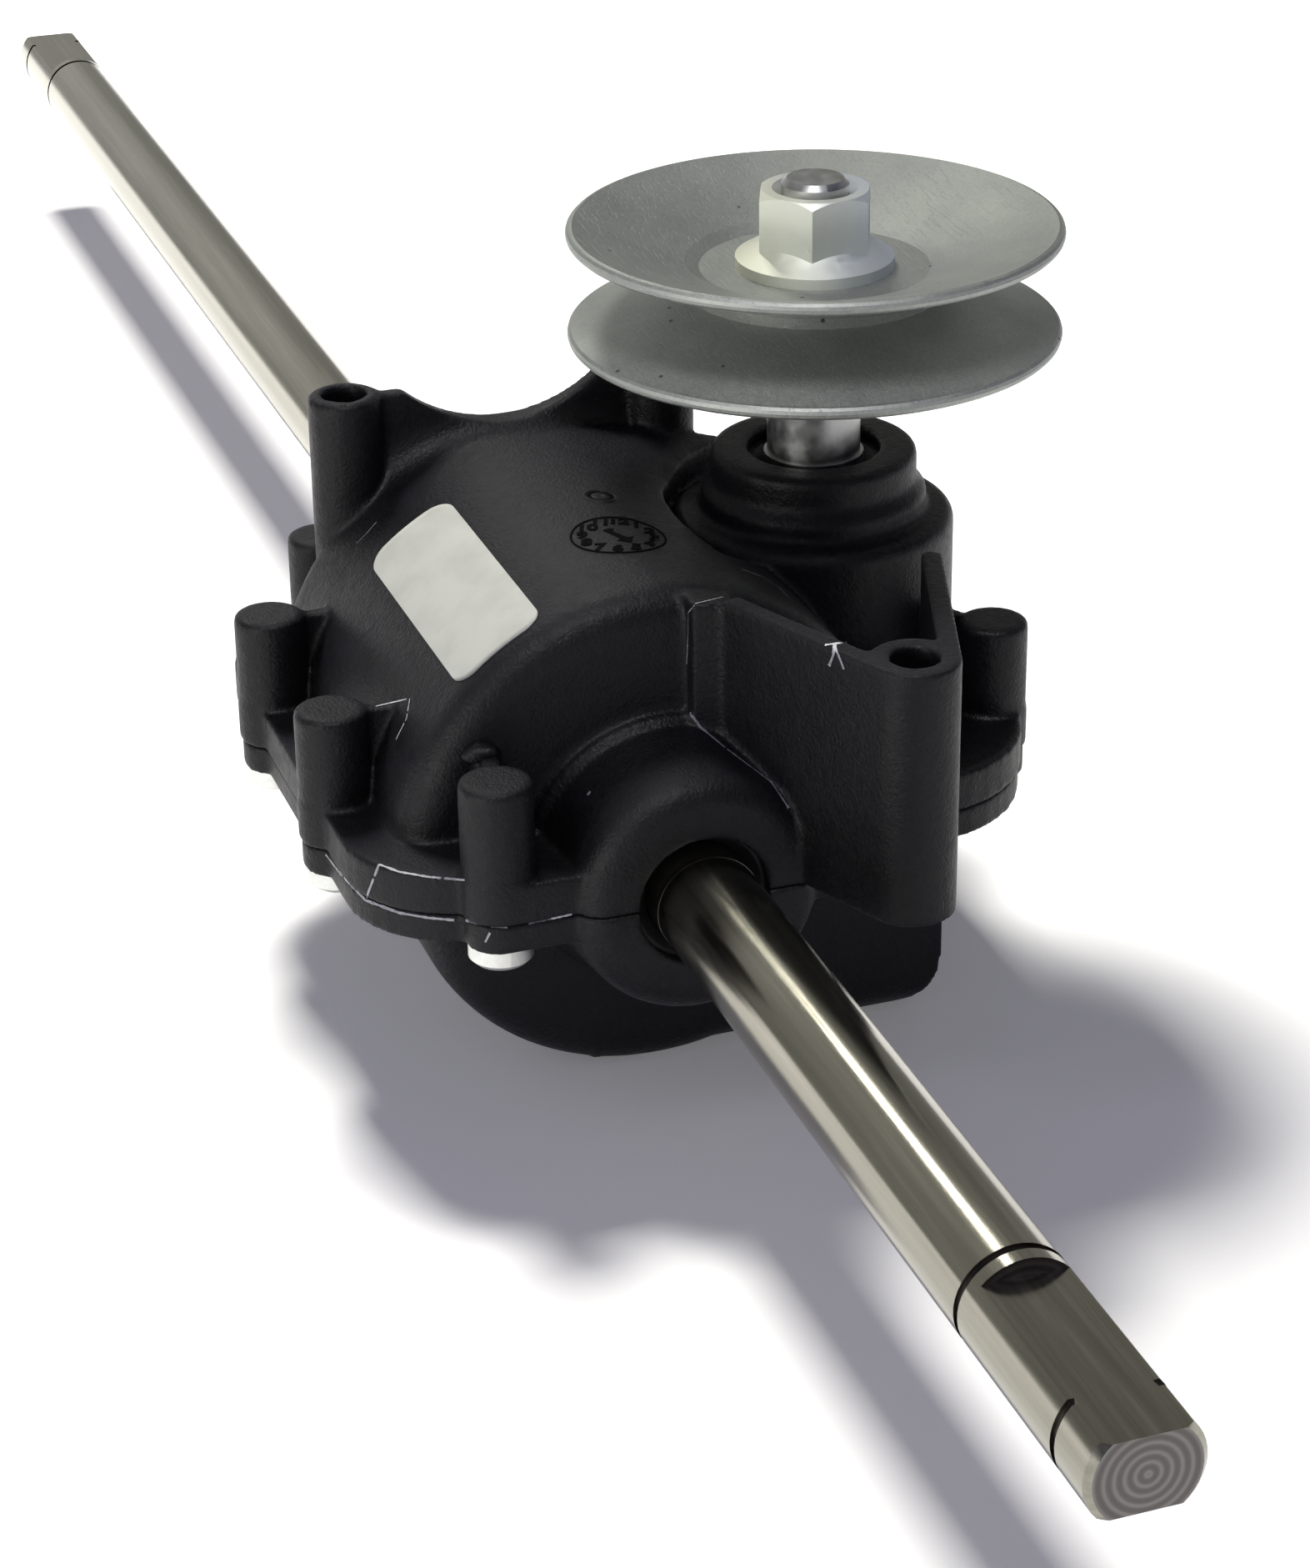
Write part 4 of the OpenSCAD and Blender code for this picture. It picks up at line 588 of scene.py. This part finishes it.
class TRANSMISSION_OT_scuffs(bpy.types.Operator):
    """Pale scuffs where the nylon's edges were knocked, painted highlights along the flange's top edge and the tower's
    foot, and the gate's stub
    """
    bl_idname = "transmission.scuffs"
    bl_label = "Scuffs, Highlights And Gate"

    # routes of the scuffs and painted highlights in pixels of the photograph, each with its width against the usual
    # one
    routes = {
        "parting_edge": (1.1, [(391, 1025), (407, 1046), (421, 1062), (439, 1080), (479, 1095), (514, 1101),
                               (548, 1104)]),
        "parting_dash_a": (0.9, [(559, 1104), (580, 1111)]),
        "parting_dash_b": (0.9, [(589, 1112), (612, 1113)]),
        "parting_dash_c": (1.2, [(634, 1108), (662, 1102), (689, 1096)]),
        # painted highlight: the flange's top edge catching the light
        "flange_edge_painted_highlight": (0.9, [(455, 1037), (479, 1046), (514, 1052), (561, 1056)]),
        "flange_nick": (1.0, [(455, 1037), (443, 1068), (439, 1080)]),
        "rim_nick": (0.8, [(588, 1119), (581, 1133)]),
        "bracket_edge": (1.1, [(828, 855), (840, 872), (870, 897), (925, 938), (948, 972)]),
        "bracket_corner": (0.35, [(868, 716), (835, 724), (826, 735), (826, 760), (824, 800)]),
        # painted highlight: the fillet at the tower's foot catching the light
        "tower_edge_painted_highlight": (0.6, [(890, 683), (915, 692), (935, 705), (948, 719)]),
        "gusset_edge": (0.6, [(448, 848), (470, 843), (491, 838)]),
        "gusset_foot": (0.6, [(492, 838), (488, 862), (474, 890)]),
        "post_foot": (0.5, [(428, 652), (440, 640), (454, 624)]),
        "bracket_scratch_a": (1.5, [(990, 774), (1004, 772), (1019, 770)]),
        "bracket_scratch_b": (1.3, [(1002, 772), (1000, 786), (994, 802)]),
        "bracket_scratch_c": (1.1, [(1001, 774), (1008, 790), (1014, 806)]),
        "collar_speck": (2.0, [(706, 951), (710, 954)]),
    }
    # pixels between two places of a strip, the longest jump that still joins them, and how often it breaks
    step_px = 3
    longest_jump = 2.5 * MM
    break_share = 0.02
    lift_mm = 0.04
    gate_seen_at = (577, 902)
    gate_half_mm = (1.5, 2.4, 1.3)
    lump_count, lump_height, lump_width = 14, 0.22, 0.45

    def ribbon(self, skins, name, width, route, chance):
        """Narrow strip along a route, with an uneven width and breaks."""
        places = []
        for (u0, v0), (u1, v1) in zip(route, route[1:]):
            steps = max(2, int(math.hypot(u1 - u0, v1 - v0) / self.step_px))
            for k in range(steps):
                t = k / steps
                hit = seen_at(skins, u0 + (u1 - u0) * t, v0 + (v1 - v0) * t)
                if hit:
                    places.append(hit)
        corners, faces = [], []
        for k, (place, normal) in enumerate(places):
            before = places[max(k - 1, 0)][0]
            ahead = places[min(k + 1, len(places) - 1)][0] - before
            side = normal.cross(ahead).normalized() if ahead.length > 0 else Vector((0, 0, 1))
            reach = width / 2 * (0.7 + 0.5 * chance.random())
            lifted = place + normal * self.lift_mm * MM
            corners += [lifted - side * reach, lifted + side * reach]
            # a jump from one wall to another breaks the strip
            if k and (place - before).length < self.longest_jump and chance.random() > self.break_share:
                faces.append((2 * k - 2, 2 * k - 1, 2 * k + 1, 2 * k))
        if faces:
            mesh = as_mesh(name, corners, faces)
            piece(f"scuff_{name}", mesh, bpy.data.materials["scraped_nylon"])

    def gate(self, skins, chance):
        """Lumpy stub where the moulding was cut from its gate."""
        place, _ = seen_at(skins, *self.gate_seen_at)
        shape = bmesh.new()
        bmesh.ops.create_icosphere(shape, subdivisions=4, radius=1.0)
        lumps = [Vector([chance.uniform(-1, 1) for _ in range(3)]) for _ in range(self.lump_count)]
        for vertex in shape.verts:
            near = sum(math.exp(-((vertex.co - lump).length / self.lump_width) ** 2) for lump in lumps)
            swell = 1 + self.lump_height * near
            stretched = Vector([c * half for c, half in zip(vertex.co, self.gate_half_mm)])
            vertex.co = stretched * swell * MM + place
        mesh = bpy.data.meshes.new("gate_stub")
        shape.to_mesh(mesh)
        shape.free()
        piece("gate_stub", mesh, bpy.data.materials["moulded_glass_filled_nylon"])

    def execute(self, context):
        skins = housing_skins()
        chance = random.Random(7)
        scraped_nylon()
        width = context.scene.transmission_marks.scuff_width
        for name, (share, route) in self.routes.items():
            self.ribbon(skins, name, share * width, route, chance)
        self.gate(skins, chance)
        return {"FINISHED"}


class TRANSMISSION_OT_pulley(bpy.types.Operator):
    """Pressed pulley discs and the flange nut"""
    bl_idname = "transmission.pulley"
    bl_label = "Belt Pulley"

    def execute(self, context):
        sheet = zinc_sheet()
        for node in ("pulley_upper_disc", "pulley_lower_disc"):
            dress(node, sheet)
        dress("pulley_nut", zinc_nut())
        return {"FINISHED"}


class TRANSMISSION_OT_axle(bpy.types.Operator):
    """Through axle of ground bar"""
    bl_idname = "transmission.axle"
    bl_label = "Axle"

    def execute(self, context):
        dress("axle", ground_bar())
        return {"FINISHED"}


class TRANSMISSION_OT_gears(bpy.types.Operator):
    """Gears, bearings, seals and small fastenings"""
    bl_idname = "transmission.gears"
    bl_label = "Gears And Bearings"

    def execute(self, context):
        bright = plain_metal("ground_hardened_steel", "#9c9d9b", "#b2b2b3", 0.3, 0.44, 2.0)
        turned = plain_metal("turned_steel", "#7f807f", "#969796", 0.28, 0.4, 1.2)
        bronze = plain_metal("cut_tin_bronze", "#a67c45", "#bd9357", 0.25, 0.38, 1.5)
        race = plain_metal("polished_bearing_steel", "#a3a6a8", "#b4b6b7", 0.1, 0.18, 2.0)
        zinc = plain_metal("zinc_plated_screw", "#dcdedb", "#eaeae6", 0.35, 0.5, 1.0)
        rubber = seal_rubber()
        looks = {"worm_shaft": bright, "hub_key": bright, "bearing_shim": bright, "cover_dowels": bright,
                 "wheel_hub": turned, "near_spacer": turned, "far_spacer": turned, "shaft_circlip": turned,
                 "tower_circlip": turned, "worm_wheel": bronze, "cover_screws": zinc}
        for node in NODES:
            if "_race" in node or "_balls" in node:
                looks[node] = race
            elif node.endswith("_seal"):
                looks[node] = rubber
        for node, look in looks.items():
            dress(node, look)
        return {"FINISHED"}


# Stage

def look_matrix(place, azimuth, pitch, roll):
    """Camera matrix from its place and angles."""
    back = Vector((math.sin(azimuth) * math.cos(pitch), -math.cos(azimuth) * math.cos(pitch), math.sin(pitch)))
    right = (-back).cross(Vector((0, 0, 1))).normalized()
    up = right.cross(-back)
    rolled_right = math.cos(roll) * right + math.sin(roll) * up
    rolled_up = -math.sin(roll) * right + math.cos(roll) * up
    matrix = Matrix((rolled_right, rolled_up, back)).transposed().to_4x4()
    matrix.translation = place
    return matrix


def lamp(name, place, target, size, watts, colour, shine=False):
    """Rectangular soft lamp aimed at a point. It lights the surfaces, or, as a shine, only shows in their gloss."""
    data = bpy.data.lights.new(name, "AREA")
    data.shape = "RECTANGLE"
    data.size, data.size_y = size
    data.energy = watts
    data.color = linear(colour)[:3]
    back = (Vector(place) - Vector(target)).normalized()
    side = Vector((0, 1, 0)) - back * back.y
    side.normalize()
    made = bpy.data.objects.new(name, data)
    made.visible_diffuse, made.visible_glossy = not shine, shine
    made.matrix_world = Matrix.Translation(place) @ Matrix((side, back.cross(side), back)).transposed().to_4x4()
    bpy.context.scene.collection.objects.link(made)


class TRANSMISSION_OT_stage(bpy.types.Operator):
    """Camera at the photograph's place, pale floor and soft lamps"""
    bl_idname = "transmission.stage"
    bl_label = "Stage"

    # half the floor's width, and the distances between which it fades into the white surroundings
    floor_half = 6.0
    fade_from, fade_to = 0.4, 1.2
    # how far the floor near the part is lifted for rays that see it, and the room's light on the part
    floor_lift = 0.13
    room_light = 0.13
    # way to the bright end of the room that metal mirrors; its length spreads the room's colours
    bright_way = (-0.375, -0.06, 0.11)

    def camera(self, context):
        """Camera of the photograph."""
        stage = context.scene.transmission_stage
        data = bpy.data.cameras.new("photo_camera")
        data.sensor_fit = "HORIZONTAL"
        data.sensor_width = 36.0
        data.lens = stage.focal_px * data.sensor_width / PHOTO_WIDTH
        data.clip_start, data.clip_end = 0.01, 20
        camera = bpy.data.objects.new("photo_camera", data)
        place = Vector(stage.camera_place) + Vector((0, 0, AXLE_Z))
        camera.matrix_world = look_matrix(place, stage.azimuth, stage.pitch, stage.roll)
        context.scene.collection.objects.link(camera)
        context.scene.camera = camera
        context.scene.view_settings.view_transform = "Standard"
        context.view_layer.update()

    def floor(self, context):
        """White paper that keeps the part's shadow."""
        material, tree, out, place = new_material("white_paper_floor")
        path = add(tree, "ShaderNodeLightPath", at=(-600, 200))
        seen = add(tree, "ShaderNodeMath", {"operation": "MAXIMUM"},
                   {0: path.outputs["Is Camera Ray"], 1: path.outputs["Is Glossy Ray"]}, (-400, 200))
        seen = add(tree, "ShaderNodeMath", {"operation": "MAXIMUM"},
                   {0: seen, 1: path.outputs["Is Transmission Ray"]}, (-200, 200))
        # the paper fades into the white surroundings away from the part
        far = add(tree, "ShaderNodeVectorMath", {"operation": "LENGTH"}, {0: place}, (-600, -100)).outputs["Value"]
        fade = add(tree, "ShaderNodeMapRange",
                   {"From Min": self.fade_from, "From Max": self.fade_to, "To Min": self.floor_lift, "To Max": 1.0},
                   {"Value": far}, (-400, -100))
        lift = add(tree, "ShaderNodeMath", {"operation": "MULTIPLY"}, {0: seen, 1: fade}, (0, 200))
        paper = add(tree, "ShaderNodeBsdfDiffuse", {"Color": linear("#fbfbfd")}, at=(200, 0))
        glow = add(tree, "ShaderNodeEmission", {"Color": linear("#ffffff")}, {"Strength": lift}, (200, 200))
        both = add(tree, "ShaderNodeAddShader", links={0: paper, 1: glow}, at=(600, 0))
        tree.links.new(both.outputs[0], out.inputs["Surface"])
        half = self.floor_half
        corners = [(-half, -half, 0), (half, -half, 0), (half, half, 0), (-half, half, 0)]
        mesh = as_mesh("floor", corners, [(0, 1, 2, 3)])
        mesh.materials.append(material)
        floor = bpy.data.objects.new("floor", mesh)
        context.scene.collection.objects.link(floor)

    def surroundings(self, context):
        """White for the camera, a weak even light for the surfaces, and a room for metal to mirror."""
        world = bpy.data.worlds.new("studio")
        world.use_nodes = True
        tree = world.node_tree
        tree.nodes.clear()
        shade = tuple(context.scene.transmission_stage.shade) + (1.0,)
        path = add(tree, "ShaderNodeLightPath", at=(-800, 200))
        dim = add(tree, "ShaderNodeBackground", {"Color": shade, "Strength": self.room_light}, at=(-200, 0))
        white = add(tree, "ShaderNodeBackground", {"Color": linear("#ffffff"), "Strength": 1.0}, at=(-200, -200))
        # metal sees white beyond the far end, a dim room across, and a paler wall behind the camera
        way = add(tree, "ShaderNodeTexCoord", at=(-1200, -400)).outputs["Generated"]
        facing = add(tree, "ShaderNodeVectorMath", {"operation": "DOT_PRODUCT", 1: self.bright_way},
                     {0: way}, (-1000, -400))
        share = add(tree, "ShaderNodeMath", {"operation": "ADD", 1: 0.5}, {0: facing.outputs["Value"]}, (-800, -400))
        room = add(tree, "ShaderNodeValToRGB",
                   {"stops": [(0.12, linear("#a0a0a8")), (0.30, linear("#5c5c6c")), (0.45, linear("#3c3c50")),
                              (0.55, linear("#6a6a80")), (0.63, linear("#aaaaac")), (0.725, linear("#9f9f9c")),
                              (0.815, linear("#7c7c78")), (0.87, linear("#a6a6a2")), (0.925, linear("#ffffff"))]},
                   {"Fac": share}, (-600, -400))
        mirrored = add(tree, "ShaderNodeBackground", {"Strength": 1.0}, {"Color": room}, at=(-200, -400))
        glossy = add(tree, "ShaderNodeMath", {"operation": "MAXIMUM"},
                     {0: path.outputs["Is Glossy Ray"], 1: path.outputs["Is Transmission Ray"]}, (-400, 200))
        pick = add(tree, "ShaderNodeMixShader", links={0: glossy, 1: dim, 2: mirrored}, at=(0, 0))
        pick = add(tree, "ShaderNodeMixShader", links={0: path.outputs["Is Camera Ray"], 1: pick, 2: white},
                   at=(200, 0))
        add(tree, "ShaderNodeOutputWorld", links={"Surface": pick}, at=(400, 0))
        context.scene.world = world

    def lamps(self):
        """Soft lamps round the part."""
        # ceiling lamp beyond the far end, and its two tubes as metal mirrors them
        lamp("key_lamp", place=(-0.74, -0.01, 1.19), target=(0.05, 0.02, 0.03), size=(0.30, 0.25),
             watts=26, colour="#fffdf4")
        for name, y in (("shine_tube_a", -0.05), ("shine_tube_b", 0.07)):
            lamp(name, place=(-0.85, y, 1.05), target=(0.05, 0.02, 0.03), size=(0.03, 0.45),
                 watts=1.4, colour="#fffdf4", shine=True)
        # overhead lamp in the discs and on rounded edges, and a low window in the nut's sides
        lamp("shine_overhead", place=(0.45, -0.2, 1.15), target=(0, 0, 0.06), size=(0.25, 0.35),
             watts=7.0, colour="#fdfdff", shine=True)
        lamp("shine_window", place=(0.5, -1.0, 0.25), target=(0, 0.04, 0.10), size=(0.5, 0.5),
             watts=5.0, colour="#fffff6", shine=True)
        # weak cool light from the side away from the worm
        lamp("side_lamp", place=(0.1, -1.1, 0.9), target=(0, 0, 0.03), size=(1.0, 0.25),
             watts=1.6, colour="#e9e6ff")

    def execute(self, context):
        self.camera(context)
        self.floor(context)
        self.surroundings(context)
        self.lamps()
        return {"FINISHED"}


# Panel and run

OPERATORS = (TRANSMISSION_OT_stage, TRANSMISSION_OT_housing, TRANSMISSION_OT_label, TRANSMISSION_OT_dial,
             TRANSMISSION_OT_scuffs, TRANSMISSION_OT_pulley, TRANSMISSION_OT_axle, TRANSMISSION_OT_gears)
SETTINGS = {"transmission_stage": StageSettings, "transmission_housing": HousingSettings,
            "transmission_marks": MarkSettings}


class TRANSMISSION_PT_panel(bpy.types.Panel):
    """Lists the transmission's pieces"""
    bl_label = "Lawn Mower Transmission"
    bl_idname = "TRANSMISSION_PT_panel"
    bl_space_type = "VIEW_3D"
    bl_region_type = "UI"
    bl_category = "Transmission"

    def draw(self, context):
        for operator in OPERATORS:
            self.layout.operator(operator.bl_idname)
        for name in SETTINGS:
            settings = getattr(context.scene, name)
            box = self.layout.box()
            for key in settings.__annotations__:
                box.prop(settings, key)


CLASSES = (*SETTINGS.values(), *OPERATORS, TRANSMISSION_PT_panel)


def register():
    for made in CLASSES:
        bpy.utils.register_class(made)
    for name, kind in SETTINGS.items():
        setattr(bpy.types.Scene, name, PointerProperty(type=kind))


def unregister():
    for name in SETTINGS:
        delattr(bpy.types.Scene, name)
    for made in reversed(CLASSES):
        bpy.utils.unregister_class(made)


def main():
    register()
    for operator in OPERATORS:
        group, name = operator.bl_idname.split(".")
        getattr(getattr(bpy.ops, group), name)()


if __name__ == "__main__":
    main()
